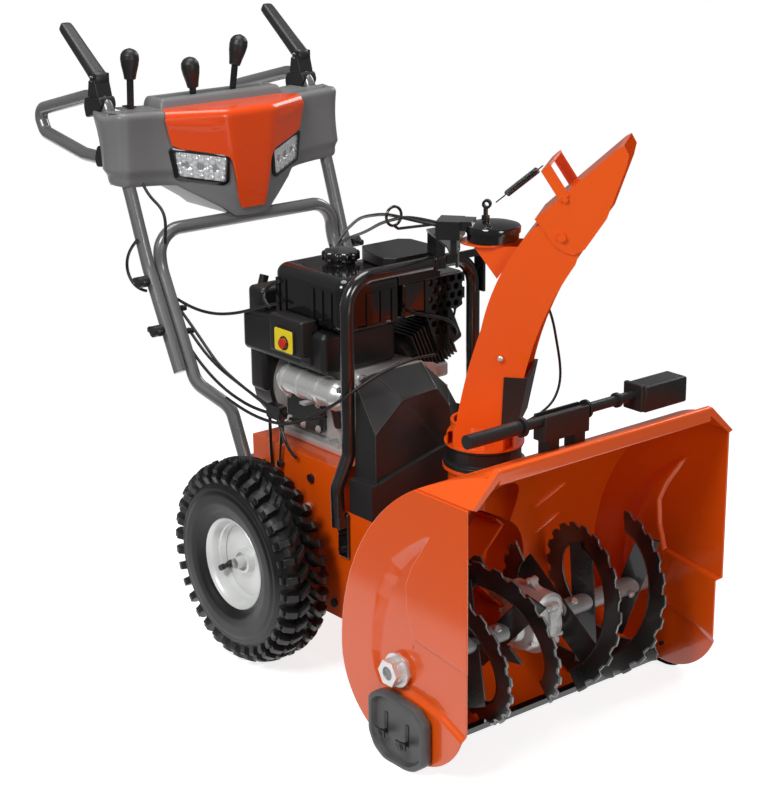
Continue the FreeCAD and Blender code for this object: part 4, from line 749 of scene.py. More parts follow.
def makeGearbox(s, centre):
    # the split casting: a drum with hub cones turned on x, a worm housing turned on y, a lobed flange in the
    # middle with a ring of bolts on each face, and four ribs
    yc, zc = centre
    drum = turnedShape("drum", s["drum"], "x", (0, yc, zc), 64, angle=28)
    turns = np.arange(0, 2 * math.pi, 2 * math.pi / 144)
    bump = np.clip(np.cos(6 * (turns - math.radians(30))) - 0.45, 0, 1) / 0.55
    lobes = s["flangeRadius"] + s["lobe"] * bump
    outline = arcAbout((yc, zc + s["lift"]), lobes, turns)
    flange = slab("flange", outline, "YZ", -s["flangeHalf"], s["flangeHalf"], 0)
    worm = turnedShape("worm", s["worm"], "y", (0, yc, s["wormZ"]), 48)
    ribs = []
    for turn in s["ribTurns"]:
        y = yc + s["ribRadius"] * math.cos(turn)
        z = s["ribRadius"] * math.sin(turn)
        ribs.append(slab("rib", boxOutline(y - 2.5, y + 2.5, zc - 3 + z, zc + 3 + z), "YZ", -s["ribHalf"],
                         s["ribHalf"], 0))
    whole = joined("gearboxCasting", [drum, flange, worm, *ribs], 30)
    dress(whole, "castMetal", "chassis", "auger_gearbox", slot="cast_aluminium")
    for word, way in (("Left", -1), ("Right", 1)):
        ring = arcAbout((yc, zc + s["lift"]), s["boltCircle"], np.radians(30 + 60 * np.arange(6)))
        spots = [(7 * way, y, z) for y, z in ring]
        heads = bolts("gearboxBolts" + word, spots, "x", 5.5, 6 * way, 7.5)
        dress(heads, "brightMetal", "chassis", slot="bright_steel")


makeAuger(augerSet)
makeGearbox(gearboxSet, augerSet["centre"])
print("auger is made")

# housing: pressed side panels, back ribs, bearings and shoes
panelSet = {"x": 305, "steel": 3, "depth": 7.5,
            "edge": [(-670, 498), (-670, 219), (-661, 212), (-661, 103)],
            "toe": [(-661, 103), (-626, 45), (-541, 12)], "wrapCentre": (-497, 165), "wrapRadius": 152,
            "backCentre": (-725, 165), "backRadius": 380, "backTurn": 61.2, "middle": (-530, 215),
            "rear": [(-583, 432), (-560, 420), (-520, 394), (-478, 361), (-455, 322), (-441, 287),
                     (-430, 232), (-426, 177), (-432, 146), (-450, 121), (-480, 126), (-545, 121),
                     (-604, 113), (-672, 84)],
            "fold": [(-583, 432), (-556, 392), (-534, 360), (-519, 326), (-522, 280), (-536, 236),
                     (-600, 228), (-676, 217)], "slope": ([120, 150, 240, 330, 430], [12, 16, 24, 34, 12]),
            "foldStep": 5}


def arcThrough(a, b, c, count):
    # points on the circle through three points, the short way from the first to the last
    a, b, c = (np.asarray(p, float) for p in (a, b, c))
    system = 2 * np.array([b - a, c - a])
    centre = np.linalg.solve(system, np.array([b @ b - a @ a, c @ c - a @ a]))
    start, end = (math.atan2(*(p - centre)[::-1]) for p in (a, c))
    end = start + (end - start + math.pi) % (2 * math.pi) - math.pi
    return arcAbout(centre, np.linalg.norm(a - centre), np.linspace(start, end, count))


def distanceTo(points, line):
    # shortest distance from every point to any leg of a line
    line = np.asarray(line, float)
    best = np.full(points.shape[:-1], 1e9)
    for a, b in zip(line, line[1:]):
        leg = b - a
        share = np.clip(((points - a) @ leg) / (leg @ leg), 0, 1)
        best = np.minimum(best, np.linalg.norm(points - a - share[..., None] * leg, axis=-1))
    return best


def insideOf(points, polygon):
    # even-odd rule: a point is inside when an odd number of edges lies to one side of it
    polygon = np.asarray(polygon, float)
    y = points[..., 0]
    z = points[..., 1]
    inside = np.zeros(y.shape, bool)
    for (ya, za), (yb, zb) in zip(polygon, np.roll(polygon, -1, axis=0)):
        if za == zb:
            continue
        crosses = (za > z) != (zb > z)
        inside ^= crosses & (y < (yb - ya) * (z - za) / (zb - za) + ya)
    return inside


def pressing(points, s):
    # how far the dish is pressed in: a wide slope from the rear line, a short step at the fold
    dish = insideOf(points, [*s["rear"], *s["fold"][::-1]])
    wide = np.interp(points[..., 1], *s["slope"])
    share = np.minimum(np.clip(distanceTo(points, s["rear"]) / wide, 0, 1),
                       np.clip(distanceTo(points, s["fold"]) / s["foldStep"], 0, 1))
    return s["depth"] * share ** 2 * (3 - 2 * share) * dish


def makeSidePanel(side, s):
    # the outline shrinks ring by ring to a middle point, and each ring is pressed in by the dish's depth
    toe = arcThrough(*s["toe"], 16)[1:]
    wrap = arcAbout(s["wrapCentre"], s["wrapRadius"], np.radians(np.linspace(-90, 0, 24)))
    back = arcAbout(s["backCentre"], s["backRadius"], np.radians(np.linspace(0, s["backTurn"], 24))[1:])
    outline = spacedLine(np.vstack([s["edge"], toe, wrap, back]), 420, closed=True)
    middle = np.array(s["middle"])
    share = np.r_[0.004, np.linspace(0.02, 1, 120)][:, None, None]
    flat = middle + (outline - middle) * share
    x = -(s["x"] - pressing(flat, s))
    points = np.stack([x * side, flat[..., 0], flat[..., 1]], axis=-1)
    word = sideWord(side)
    piece = surface("pressedPanel" + word, placed(points), closeCols=True, angle=50, outward=(-side, 0, 0))
    solidified(piece, s["steel"])
    return dress(piece, "orangePaint", "chassis", "side_panel_" + word.lower(), slot="orange_steel")


for side in (1, -1):
    makeSidePanel(side, panelSet)

ribSet = {"girth": 3.6,
          "runs": [((117, -379, 316), (176, -399, 357)), ((140, -358, 254), (193, -367, 285)),
                   ((98, -384, 345), (168, -411, 386)), ((74, -386, 372), (150, -420, 410))]}


def makeBackRibs(s):
    # straight rods that thin out quickly at both ends
    for number, (low, high) in enumerate(s["runs"]):
        path = np.linspace(np.array(low, float), np.array(high, float), 14)
        girth = s["girth"] * np.sqrt(np.clip(1 - np.linspace(-1, 1, 14) ** 8, 0.02, 1))
        rib = sweptShape(f"backRib{number}", path, taperedRound(girth, 12), sideways=(0, 1, 0))
        dress(rib, "orangePaint", "chassis", slot="orange_steel")


makeBackRibs(ribSet)

bearingSet = {"x": -297.5, "hexTurn": 0.2, "hex": [(0, 28), (-7, 28), (-8.5, 26), (-8.5, 10)],
              "collar": [(0, 13), (0, 23), (-20, 22), (-22, 20.5), (-28, 20), (-29.5, 18), (-29.5, 13.5),
                         (-24, 13)]}


def makeBearing(side, s):
    # hex flange and a stepped, hollow collar round the shaft's end, both turned on the auger's line
    spot = (s["x"] * side, *augerSet["centre"])
    hexPart = turnedShape("hex", np.array(s["hex"]) * (side, 1), "x", spot, 6, angle=20, start=s["hexTurn"])
    collar = turnedShape("collar", np.array(s["collar"]) * (side, 1), "x", spot, 48, closeProfile=True)
    whole = joined("augerBearing" + sideWord(side), [hexPart, collar], 28)
    return dress(whole, "brightMetal", "chassis", slot="bright_steel")


for side in (1, -1):
    makeBearing(side, bearingSet)

shoeSet = {"outline": [(-441, 40), (-441, 106), (-461, 121), (-485, 127), (-562, 121), (-587, 102),
                       (-587, 26), (-560, 5), (-540, 0.4), (-482, 0.4), (-456, 14)], "corner": 8,
           "x": 321, "limitX": -327.5, "limitZ": 0.2,
           # share of the way from the middle to the edge, and how far the plate stands out there
           "share": [0.01, 0.4, 0.78, 0.81, 0.84, 0.87, 0.94, 0.98, 1, 1, 0.985],
           "lift": [-4, -4, -4, -3.6, 1.5, 5.6, 6, 4.6, 1, -9, -12],
           "slots": [(-480, 50), (-535, 46)], "slotHalf": 4.5, "slotReach": (-8, 36),
           "slotX": (-318.2, -317.2)}


def makeShoe(side, s):
    # a moulded plate with a raised border: the outline shrinks to its middle while it rises and falls;
    # two long slots for the studs
    line = roundedLine(s["outline"], [s["corner"]] * len(s["outline"]), 160, closed=True)
    middle = line.mean(0)
    share = np.array(s["share"])[:, None, None]
    flat = middle + (line - middle) * share
    x = -(s["x"] + np.array(s["lift"])[:, None] + 0 * flat[..., 0])
    x = np.maximum(x, s["limitX"])
    word = sideWord(side)
    body = "shoe_" + word.lower()
    points = np.stack([x * side, flat[..., 0], np.maximum(flat[..., 1], s["limitZ"])], axis=-1)
    shoe = surface("mouldedShoe" + word, placed(points), closeCols=True, angle=40, outward=(-side, 0, 0))
    dress(shoe, "shoePlastic", body, "skid_shoe_" + word.lower(), slot="dark_plastic")
    low, high = s["slotReach"]
    half = s["slotHalf"]
    for number, (y, z) in enumerate(s["slots"]):
        line = roundedLine(boxOutline(y - half, y + half, z + low, z + high), [4.4] * 4, 40, closed=True)
        slot = slab(f"shoeSlot{word}{number}", line, "YZ", s["slotX"][0] * side, s["slotX"][1] * side, 0)
        dress(slot, "blackRubber", body, slot="black_plastic")


for side in (1, -1):
    makeShoe(side, shoeSet)
print("housing parts are made")

# console
consoleSet = {"plan": [(-262, 470), (-276, 430), (-261, 368), (-160, 374), (-50, 316), (0, 314)],
              "corners": [26, 24, 40, 34], "frontLimit": 428,
              # height of the roof and of the underside by distance from the middle
              "roof": ([0, 150, 262, 276], [977, 978, 984, 974]),
              "floor": ([0, 40, 60, 140, 206, 268, 285], [764, 766, 782, 832, 838, 842, 846]),
              "round": 11, "wall": 3, "roofHalf": 264, "roofBack": 470, "floorHalf": 258, "floorBack": 488,
              "notchX": 214, "notchY": 424}


def consolePlan(s, count=110):
    # the left half of the front wall's line, then its mirror image
    half = roundedLine(s["plan"], s["corners"], count)
    return np.vstack([half, half[-2::-1] * (-1, 1)])


consoleLine = consolePlan(consoleSet)
consoleFront = consoleLine[consoleLine[:, 1] < consoleSet["frontLimit"]]


def frontY(x):
    # where the front wall stands at x
    return np.interp(x, consoleFront[:, 0], consoleFront[:, 1])


def makeConsoleShell(s):
    # the plan line is carried down from roof to floor: quarter rounds at both ends, a ridge low on the wall,
    # and side walls whose back edges draw forward on the way down
    plan = consoleLine
    r = s["round"]
    ahead = np.gradient(plan, axis=0)
    inward = np.stack([-ahead[:, 1], ahead[:, 0]], axis=-1)
    inward /= np.linalg.norm(inward, axis=1, keepdims=True)
    inward *= np.sign((inward * (np.array([0, 440]) - plan)).sum(1, keepdims=True))
    roof = np.interp(np.abs(plan[:, 0]), *s["roof"])
    floor = np.interp(np.abs(plan[:, 0]), *s["floor"])
    quarter = np.linspace(0, math.pi / 2, 7)
    rise = np.linspace(0, 1, 26)[1:-1]
    wall = 3.2 * np.sin(np.pi * np.clip(rise / 0.84, 0, 1)) + 7 * np.clip((rise - 0.84) / 0.1, 0, 1)
    wing = np.clip((np.abs(plan[:, 0]) - 120) / 40, 0, 1)
    depth = np.r_[r + 16, r * (1 - np.sin(quarter)), wall, 7 + 6 * (1 - np.cos(quarter)), 30]
    drop = np.r_[0, r * (1 - np.cos(quarter)), np.full(24, r), np.full(7, r), r]
    share = np.r_[np.zeros(8), rise, np.ones(8)]
    under = np.r_[np.zeros(32), r * np.sin(quarter), r]
    shaped = np.r_[np.zeros(8), np.ones(32)]
    depth = depth[None] * np.where(shaped[None] > 0, 0.25 + 0.75 * wing[:, None], 1)
    height = roof[:, None] - drop[None] + (floor - roof + 2 * r)[:, None] * share[None] - under[None]
    flat = plan[:, None] + inward[:, None] * depth[..., None]
    back = np.clip(flat[..., 1] - 368, 0, None)
    y = flat[..., 1] - back * 0.33 * np.clip((980 - height) / 130, 0, 1)
    points = np.stack([flat[..., 0], y, height], axis=-1)
    return solidified(surface("consoleSkin", placed(points), angle=40, outward=(0, -1, 0)), s["wall"])


def makeLid(name, s, half, shoulder, inset, back, heights, raised, up):
    # a sheet from the front line to the back edge, stepped back where the handles pass;
    # its height follows the distance from the middle
    x = np.linspace(-half, half, 184)
    front = np.where(np.abs(x) > shoulder[0][0], np.interp(np.abs(x), *shoulder), frontY(x) + inset)
    rear = np.where(np.abs(x) > s["notchX"], np.maximum(s["notchY"], front + 2), back)
    y = front + (rear - front) * np.linspace(0, 1, 14)[:, None]
    z = np.interp(np.abs(x), *heights)[None] + 0 * y + raised
    points = np.stack([x[None] + 0 * y, y, z], axis=-1)
    return solidified(surface(name, placed(points), angle=40, outward=(0, 0, up)), s["wall"])


def makeConsoleRoof(s):
    # the lid, whose outer ends draw back round the corners
    return makeLid("consoleRoof", s, s["roofHalf"], ([250, 264], [380, 430]), s["round"] - 1, s["roofBack"],
                   s["roof"], -0.3, 1)


def makeConsoleFloor(s):
    # the bowed underside, from the front wall to the open back
    return makeLid("consoleFloor", s, s["floorHalf"], ([250, 258], [384, 400]), 8, s["floorBack"], s["floor"],
                   0.8, -1)


trayShape = {"section": [(402, 972), (408, 990), (412, 995), (421, 996.5), (426, 995), (427, 987), (460, 987),
                         (462, 994), (465, 996), (470, 994), (472, 966)],
             "foot": 966, "middleY": 440, "half": 148, "endRound": 12, "sunk": (423, 463), "sunkHalf": 134,
             "full": 30}


def makeLeverTray(s):
    # an upstand with a sunk top; its section runs along x and sinks away at both ends in a quarter round
    section = roundedLine(s["section"], [3] * 9, 70)
    x = np.r_[np.linspace(-s["half"], -130, 14), np.linspace(-129, 129, 60), np.linspace(130, s["half"], 14)]
    fromEnd = np.clip((s["half"] - np.abs(x)) / s["endRound"], 0, 1)
    close = np.sqrt(1 - (1 - fromEnd) ** 2)[:, None]
    lift = (section[None, :, 1] - s["foot"]) * close
    filled = np.clip((s["sunkHalf"] - np.abs(x)) / 4, 0, 1)[:, None]
    sunk = (section[None, :, 0] > s["sunk"][0]) & (section[None, :, 0] < s["sunk"][1])
    lift = np.where(sunk, lift + (1 - filled) * np.maximum(0, s["full"] * close - lift), lift)
    y = s["middleY"] + (section[None, :, 0] - s["middleY"]) * (0.9 + 0.1 * close)
    points = np.stack([x[:, None] + 0 * y, y, s["foot"] + lift], axis=-1)
    return surface("leverTray", placed(points), angle=50, outward=(0, 0, 1))


panelShape = {"nose": ([782, 880, 978], [31, 44, 56]), "frontY": 316, "proud": 7, "roof": 979, "roll": 16,
              "rear": 404, "wall": 5,
              "half": ([781, 800, 872, 884, 890, 906, 914, 962, 980],
                       [27, 33, 46, 52, 62, 140, 154, 166, 160])}


def makeConsolePanel(s):
    # rows climb the front, roll over the brow and run back to the lever tray; width follows the row's height
    top = s["roof"] - s["roll"]
    front = np.r_[np.linspace(781, 882, 44), np.linspace(883, 914, 30), np.linspace(916, top, 18)]
    across = np.sin(np.linspace(-1, 1, 161) * math.pi / 2 * 0.92) / math.sin(math.pi / 2 * 0.92)
    turn = np.linspace(0, math.pi / 2, 9)[1:]
    back = np.linspace(0, 1, 12)[1:]
    share = np.r_[np.zeros(len(front) + len(turn)), back][:, None]
    z = np.r_[front, top + s["roll"] * np.sin(turn), np.full(len(back), s["roof"])][:, None]
    half = np.interp(z, *s["half"]) - 22 * share ** 2
    x = across[None] * half
    # a flat nose that widens upwards, with raised creases beside it and wings that fall back
    crease = np.interp(np.minimum(z, top), *s["nose"])
    beyond = np.clip(np.abs(x) - crease, 0, None)
    y = s["frontY"] - s["proud"] + 0.49 * beyond + 3 * np.clip((850 - z) / 70, 0, 1) ** 2
    y = y + 1.1 * np.exp(-((np.abs(x) - crease) / 5.0) ** 2)
    brow = np.exp(-((z - (940 + 0.1 * np.abs(x))) / 9) ** 2) * np.clip((np.abs(x) - 60) / 25, 0, 1)
    y = y - 1.8 * brow
    rolled = np.r_[np.zeros(len(front)), s["roll"] * (1 - np.cos(turn)), np.full(len(back), s["roll"])]
    y = y + rolled[:, None]
    y = y + (s["rear"] - y) * share
    points = np.stack([x, y, z + 0 * x], axis=-1)
    piece = surface("consolePanel", placed(points), angle=60, outward=(0, -1, 0.3))
    return solidified(piece, s["wall"], 1.0)


headlampSet = {"opening": [(57, 884), (147, 901), (141, 853), (61, 837)],
               "bezel": [(50, 889), (153, 909), (158, 903), (148, 847), (62, 829), (52, 836)],
               "middle": (101, 868), "corner": 5, "cells": (9, 5), "bowls": (0.2, 0.5, 0.8)}


def lampRing(s, outline, count=120):
    # the outline as radii about the lamp's middle at even turns
    line = roundedLine(outline, [s["corner"]] * len(outline), 400, closed=True) - s["middle"]
    turn = np.arctan2(line[:, 1], line[:, 0])
    order = np.argsort(turn)
    even = np.linspace(-math.pi, math.pi, count, endpoint=False)
    radius = np.interp(even, turn[order], np.hypot(*line.T)[order], period=2 * math.pi)
    return arcAbout(s["middle"], radius, even)


def onFront(flat, proud, side):
    # a flat lamp point set on the front wall, standing proud of it
    x = flat[..., 0] * side
    return np.stack([x, frontY(x) - proud + 0 * x, flat[..., 1]], axis=-1)


def makeLampFrame(s, side):
    # the bezel's ring blends into the opening's ring while it rises and falls
    outer, inner = lampRing(s, s["bezel"]), lampRing(s, s["opening"])
    share = np.array([0, 0.04, 0.5, 0.93, 1, 1])[:, None, None]
    flat = outer + (inner - outer) * share
    proud = np.array([0, 3.4, 4.6, 4.6, 3.6, 0])[:, None] + 0 * flat[..., 0]
    points = placed(onFront(flat, proud, side))
    return surface("lampFrame", points, closeCols=True, angle=40, outward=(0, -1, 0))


def makeReflector(s, side):
    # a shiny egg-crate of small tilted facets with three bowls, standing behind the lens
    across, up = np.meshgrid(np.linspace(0, 1, 73), np.linspace(0, 1, 37), indexing="ij")
    highIn, highOut, lowOut, lowIn = np.array(s["opening"])
    low = lowIn + (lowOut - lowIn) * across[..., None]
    high = highIn + (highOut - highIn) * across[..., None]
    flat = low + (high - low) * up[..., None]
    columns, rows = s["cells"]
    cells = 3.4 * np.abs(((across * columns + 0.35 * up) % 1) - 0.5)
    cells = cells + 3.0 * np.abs(((up * rows + 0.5 * np.floor(across * columns)) % 1) - 0.5)
    bowls = sum(np.clip(1 - ((across - c) ** 2 * 10 + (up - 0.5) ** 2 * 3.2) * 8, 0, 1) for c in s["bowls"])
    points = onFront(flat, 3.0 - cells - 4 * bowls, side)
    return surface("reflector", placed(points), angle=4, outward=(0, -1, 0))


def makeLens(s, side):
    # a shallow dome over the opening: its ring shrinks to the middle as it rises
    ring = lampRing(s, s["opening"])
    middle = ring.mean(0)
    flat = middle + (ring - middle) * np.linspace(0.02, 1, 10)[:, None, None]
    proud = 5.4 + 1.4 * np.linspace(1, 0, 10)[:, None] + 0 * flat[..., 0]
    points = placed(onFront(flat, proud, side))
    return surface("lampLens", points, closeCols=True, angle=60, outward=(0, -1, 0))


leverSlotSet = {"x": [(-203, -187), (-58, -41), (28, 56)], "y": (428, 458), "trayTop": 988, "roofTop": 985}


def dressConsole():
    dress(makeConsoleShell(consoleSet), "greyPlastic", "chassis", "console_shell", slot="dark_plastic")
    dress(makeConsoleRoof(consoleSet), "greyPlastic", "chassis", slot="dark_plastic")
    dress(makeConsoleFloor(consoleSet), "greyPlastic", "chassis", slot="dark_plastic")
    dress(makeLeverTray(trayShape), "greyPlastic", "chassis", slot="dark_plastic")
    dress(makeConsolePanel(panelShape), "orangePlastic", "chassis", "console_panel", slot="orange_plastic")


def dressLamps(s):
    # both lenses stand for the one CAD node of the headlamps
    for side, word in ((-1, "Left"), (1, "Right")):
        bezel = makeLampFrame(s, side)
        reflector = makeReflector(s, side)
        lens = makeLens(s, side)
        for piece, finish, slot in ((bezel, "glossPlastic", "black_plastic"),
                                    (reflector, "lampSilver", "bright_steel"),
                                    (lens, "clearLens", "clear_lens")):
            piece.name += word
            dress(piece, finish, "chassis", slot=slot)
        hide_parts("headlamps")


def makeLeverSlots(s):
    # dark slots the levers stand in; the first lies in the roof, the others in the tray
    for number, (low, high) in enumerate(s["x"]):
        top = s["roofTop"] if number == 0 else s["trayTop"]
        line = roundedLine(boxOutline(low, high, *s["y"]), [3] * 4, 60, closed=True)
        dress(slab("leverSlot", line, "XY", top - 2, top, 0), "blackRubber", "chassis", slot="black_plastic")


dressConsole()
dressLamps(headlampSet)
makeLeverSlots(leverSlotSet)
print("console is made")

# levers, paddles and their brackets
leverSet = {"chute_lever": {"foot": (-196, 440, 912), "base": (-192, 440, 1036), "tip": (-190, 440, 1096)},
            "speed_lever": {"foot": (-50, 440, 912), "base": (-48, 440, 1006), "tip": (-55, 440, 1067)},
            "deflector_lever": {"foot": (34, 440, 912), "base": (53, 440, 1040), "tip": (70, 440, 1100)}}
# the knob's radius by share of its length
knobShape = ([0, 0.02, 0.06, 0.2, 0.45, 0.65, 0.8, 0.9, 0.96, 1.0],
             [9.5, 11.3, 11.6, 13.2, 16.8, 18.4, 17.4, 13.6, 8.8, 0.4])


def makeLever(node, s):
    # a flat bar carried along a straight line, and a pear-shaped knob: a circle carried from base to tip
    body = nodes[node]["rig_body"]
    foot, base, tip = (np.array(s[k], float) for k in ("foot", "base", "tip"))
    outline = roundedLine(boxOutline(-7.5, 7.5, -2, 2), [1.2] * 4, 24, closed=True)
    path = foot + (base + (tip - base) * 0.1 - foot) * np.linspace(0, 1, 12)[:, None]
    stalk = sweptShape(node + "Stalk", path, outline)
    dress(stalk, "blackPaint", body, node, slot="black_steel")
    share = np.r_[0, np.linspace(0.02, 1, 40)]
    girth = np.interp(share, *knobShape)
    knob = sweptShape(node + "Knob", base + (tip - base) * share[:, None], taperedRound(girth, 36), angle=40)
    dress(knob, "blackPlastic", body, slot="black_plastic")


for node, lever in leverSet.items():
    makeLever(node, lever)

paddleSet = {"x": 242, "lean": 36.5, "foot": (465, 1037), "length": 160, "corner": 6.5,
             "section": (-14.5, 14.5, -11, 10.5),
             "girth": ([0, 0.01, 0.06, 0.25, 0.9, 0.96, 0.99, 1.0],
                       [0.3, 0.75, 1.06, 1.0, 0.9, 0.84, 0.55, 0.2]), "pivot": (472, 1040),
             "boss": [(-14, 9), (-13, 12.5), (-10, 14), (10, 14), (13, 12.5), (14, 9)],
             "clamp": [(446, 1008), (500, 1002), (506, 986), (500, 962), (452, 976), (440, 990)],
             "clampHalf": 18, "cheek": [(452, 1006), (490, 1004), (484, 1036), (462, 1040)],
             "cheekHalf": 17, "gusset": [(398, 880), (476, 868), (482, 886), (470, 912), (402, 906)],
             "gussetX": 240, "gussetHalf": 16, "softCorner": 7}


def makePaddle(side, s):
    # a rounded bar that thickens towards its pivot, with a round end
    word = sideWord(side)
    node = "engagement_lever_" + word.lower()
    body = nodes[node]["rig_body"]
    x = -s["x"] * side
    lean = math.radians(s["lean"])
    along = np.array((0, math.cos(lean), math.sin(lean)))
    endRound = np.sin(np.linspace(0.1, math.pi / 2, 8))
    share = np.r_[0, endRound * 0.05, np.linspace(0.08, 0.92, 30), 1 - 0.07 * (1 - endRound)]
    girth = np.interp(share, *s["girth"])
    outline = roundedLine(boxOutline(*s["section"]), [s["corner"]] * 4, 44, closed=True)
    path = np.array((x, *s["foot"])) + along * s["length"] * share[:, None]
    bar = sweptShape("paddle" + word, path, outline[None] * girth[:, None, None], angle=50)
    dress(bar, "softBlack", body, node, slot="black_plastic")
    boss = turnedShape("paddleBoss" + word, s["boss"], "x", (x, *s["pivot"]), 40)
    dress(boss, "softBlack", body, slot="black_plastic")
    screw = bolts("paddleScrew" + word, [(x - 14, *s["pivot"])], "x", 6, -4.5)
    dress(screw, "brightMetal", body, slot="bright_steel")


def makePaddleMount(side, s):
    # the clamp and cheek that hold the paddle's pivot, and the gusset lower on the handle
    word = sideWord(side)
    x = -s["x"] * side
    low = -s["gussetX"] * side
    clamp = roundedLine(s["clamp"], [s["softCorner"]] * len(s["clamp"]), 60, closed=True)
    gusset = roundedLine(s["gusset"], [s["softCorner"]] * len(s["gusset"]), 60, closed=True)
    half = s["clampHalf"]
    made = [slab("paddleClamp" + word, clamp, "YZ", x - half, x + half, 3)]
    half = s["cheekHalf"]
    made.append(slab("paddleCheek" + word, s["cheek"], "YZ", x - half, x + half, 2))
    half = s["gussetHalf"]
    made.append(slab("handleGusset" + word, gusset, "YZ", low - half, low + half, 3))
    for piece in made:
        dress(piece, "blackPlastic", "chassis", slot="black_plastic")


for side in (1, -1):
    makePaddle(side, paddleSet)
    makePaddleMount(side, paddleSet)
print("levers and paddles are made")

# chute details, hood spring and chute head
chuteSet = {"turn": math.radians(38), "centreY": -371,
            # out along the throw and height of every head, then the cheek it stands on, its radius and height
            "bolts": ([(38, 640), (18, 500)], -62.5, 5.5, -4),
            "rivets": ([(144, 920)], -61.5, 5.0, -2.2),
            "pin": ([(140, 856)], -61.5, 7.2, -3.0)}


def chutePoint(across, out, z):
    # the chute's own layout, turned about its upright: across, out along its throw, height
    c, t = math.cos(chuteSet["turn"]), math.sin(chuteSet["turn"])
    return (across * c + out * t, chuteSet["centreY"] + across * t - out * c, z)


def chuteDisc(name, spots, across, radius, height):
    # round-headed rivets or bolts on one cheek, each a disc that narrows as it rises
    made = []
    for out, z in spots:
        path = [chutePoint(across + height * share, out, z) for share in (0, 0.5, 1)]
        dome = roundSection(radius, 20)[None] * np.array([1, 0.92, 0.45])[:, None, None]
        made.append(sweptShape(name, path, dome, sideways=(0, 0, 1)))
    return joined(name, made)


dress(chuteDisc("chuteBolts", *chuteSet["bolts"]), "brightMetal", "chute", slot="bright_steel")
dress(chuteDisc("hoodRivets", *chuteSet["rivets"]), "orangePaint", "hood", slot="orange_steel")
dress(chuteDisc("hoodPin", *chuteSet["pin"]), "orangePaint", "hood", slot="orange_steel")

# the ends are given in the chute's own layout
springSet = {"start": (0, 16, 896), "end": (-30, 104, 971), "turns": 27, "radius": 5.0, "wire": 1.15,
             "stations": 900, "coilFrom": 0.24, "coilShare": 0.62}


def makeSpring(s):
    # a close coil between two hooks: centre line plus radius times cos and sin of the turn
    start, end = np.array(chutePoint(*s["start"])), np.array(chutePoint(*s["end"]))
    ahead = (end - start) / np.linalg.norm(end - start)
    side = np.cross(ahead, (0, 0, 1))
    side /= np.linalg.norm(side)
    up = np.cross(side, ahead)
    share = np.linspace(0.02, 0.97, s["stations"])
    turn = np.clip((share - s["coilFrom"]) / s["coilShare"], 0, 1) * s["turns"] * 2 * math.pi
    girth = s["radius"] * np.clip((share - 0.2) / 0.05, 0, 1) * np.clip((0.9 - share) / 0.05, 0, 1)
    line = start + (end - start) * share[:, None]
    line = line + girth[:, None] * (np.cos(turn)[:, None] * side + np.sin(turn)[:, None] * up)
    coil = sweptShape("hoodSpring", line, roundSection(s["wire"], 8), sideways=tuple(side), angle=60)
    coil.data.materials.append(finishes["blackPaint"])
    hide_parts("deflector_spring")
    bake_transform(coil)
    return coil


headSet = {"centre": (0, 13, 0),
           "dome": [(833.5, 40), (833.5, 44.5), (846, 45), (847, 47.5), (856, 47.8), (859, 46), (862, 36),
                    (864, 22), (865, 11), (865, 0.5)]}


def makeChuteHead(s):
    # a glossy dome with a skirt band, turned about the chute head's upright
    dome = turnedShape("headDome", s["dome"], "z", chutePoint(*s["centre"]), 72)
    return dress(dome, "glossPlastic", "chassis", slot="black_plastic")


makeSpring(springSet)
makeChuteHead(headSet)

# the hood's cable stands out beside the chute and turns with it
hoodCableSet = {"radius": 2.4,
                "route": [chutePoint(58, 60, 742), (150, -350, 716), (186, -345, 664), (206, -335, 612),
                          (226, -330, 552), (222, -332, 500), (170, -345, 474), (78, -352, 468)]}
hoodCable = cableCurve("hoodCable", hoodCableSet["route"], hoodCableSet["radius"])
dress(hoodCable, "blackRubber", "chute", slot="rubber")

# engine, belt cover and handles
switchSet = {"plate": (-71, -17, 597, 639), "plateX": (-194.9, -193.9), "corner": 4, "button": (0, -46, 614),
             "ring": [(-196.5, 10.2), (-196.5, 12.8), (-193.5, 13.6), (-193.5, 10.2)]}


def makeSwitch(s):
    # a plain yellow plate on the switch box and a ring round the start button
    line = roundedLine(boxOutline(*s["plate"]), [s["corner"]] * 4, 60, closed=True)
    plate = slab("switchPlate", line, "YZ", *s["plateX"], 0.3)
    dress(plate, "yellowPlate", "chassis", slot="black_plastic")
    ring = turnedShape("buttonRing", s["ring"], "x", s["button"], 40, closeProfile=True)
    dress(ring, "blackPlastic", "chassis", slot="black_plastic")


starterSet = {"centre": (-140, 0, 524),
              "barrel": [(-156, 12), (-156, 16), (-152, 19), (-146, 24), (-140, 27), (-136, 28.5),
                         (-132, 28.5), (-130, 26), (-96, 26), (-94, 28.5), (-88, 28.5), (-86, 26),
                         (-40, 26), (-38, 28.5), (-32, 28.5), (-30, 26), (6, 26), (8, 28.5), (14, 28.5),
                         (18, 25), (26, 22), (30, 12)], "strap": (-169.5, -112, 495, 500),
              "strapY": (-70, -54), "bolts": [(-152, -150, 540), (-128, -150, 508)]}


def makeStarter(s):
    # one profile turned along y: cast end caps with rims, a banded barrel and a drive nose; a flat strap
    barrel = turnedShape("barrel", s["barrel"], "y", s["centre"], 56)
    strap = slab("strap", boxOutline(*s["strap"]), "XZ", *s["strapY"], 1)
    whole = joined("starterBarrel", [barrel, strap])
    dress(whole, "brightMetal", "chassis", "starter_motor", slot="cast_aluminium")
    heads = bolts("starterBolts", s["bolts"], "y", 4.5, -5, 6)
    dress(heads, "shaftSteel", "chassis", slot="bright_steel")


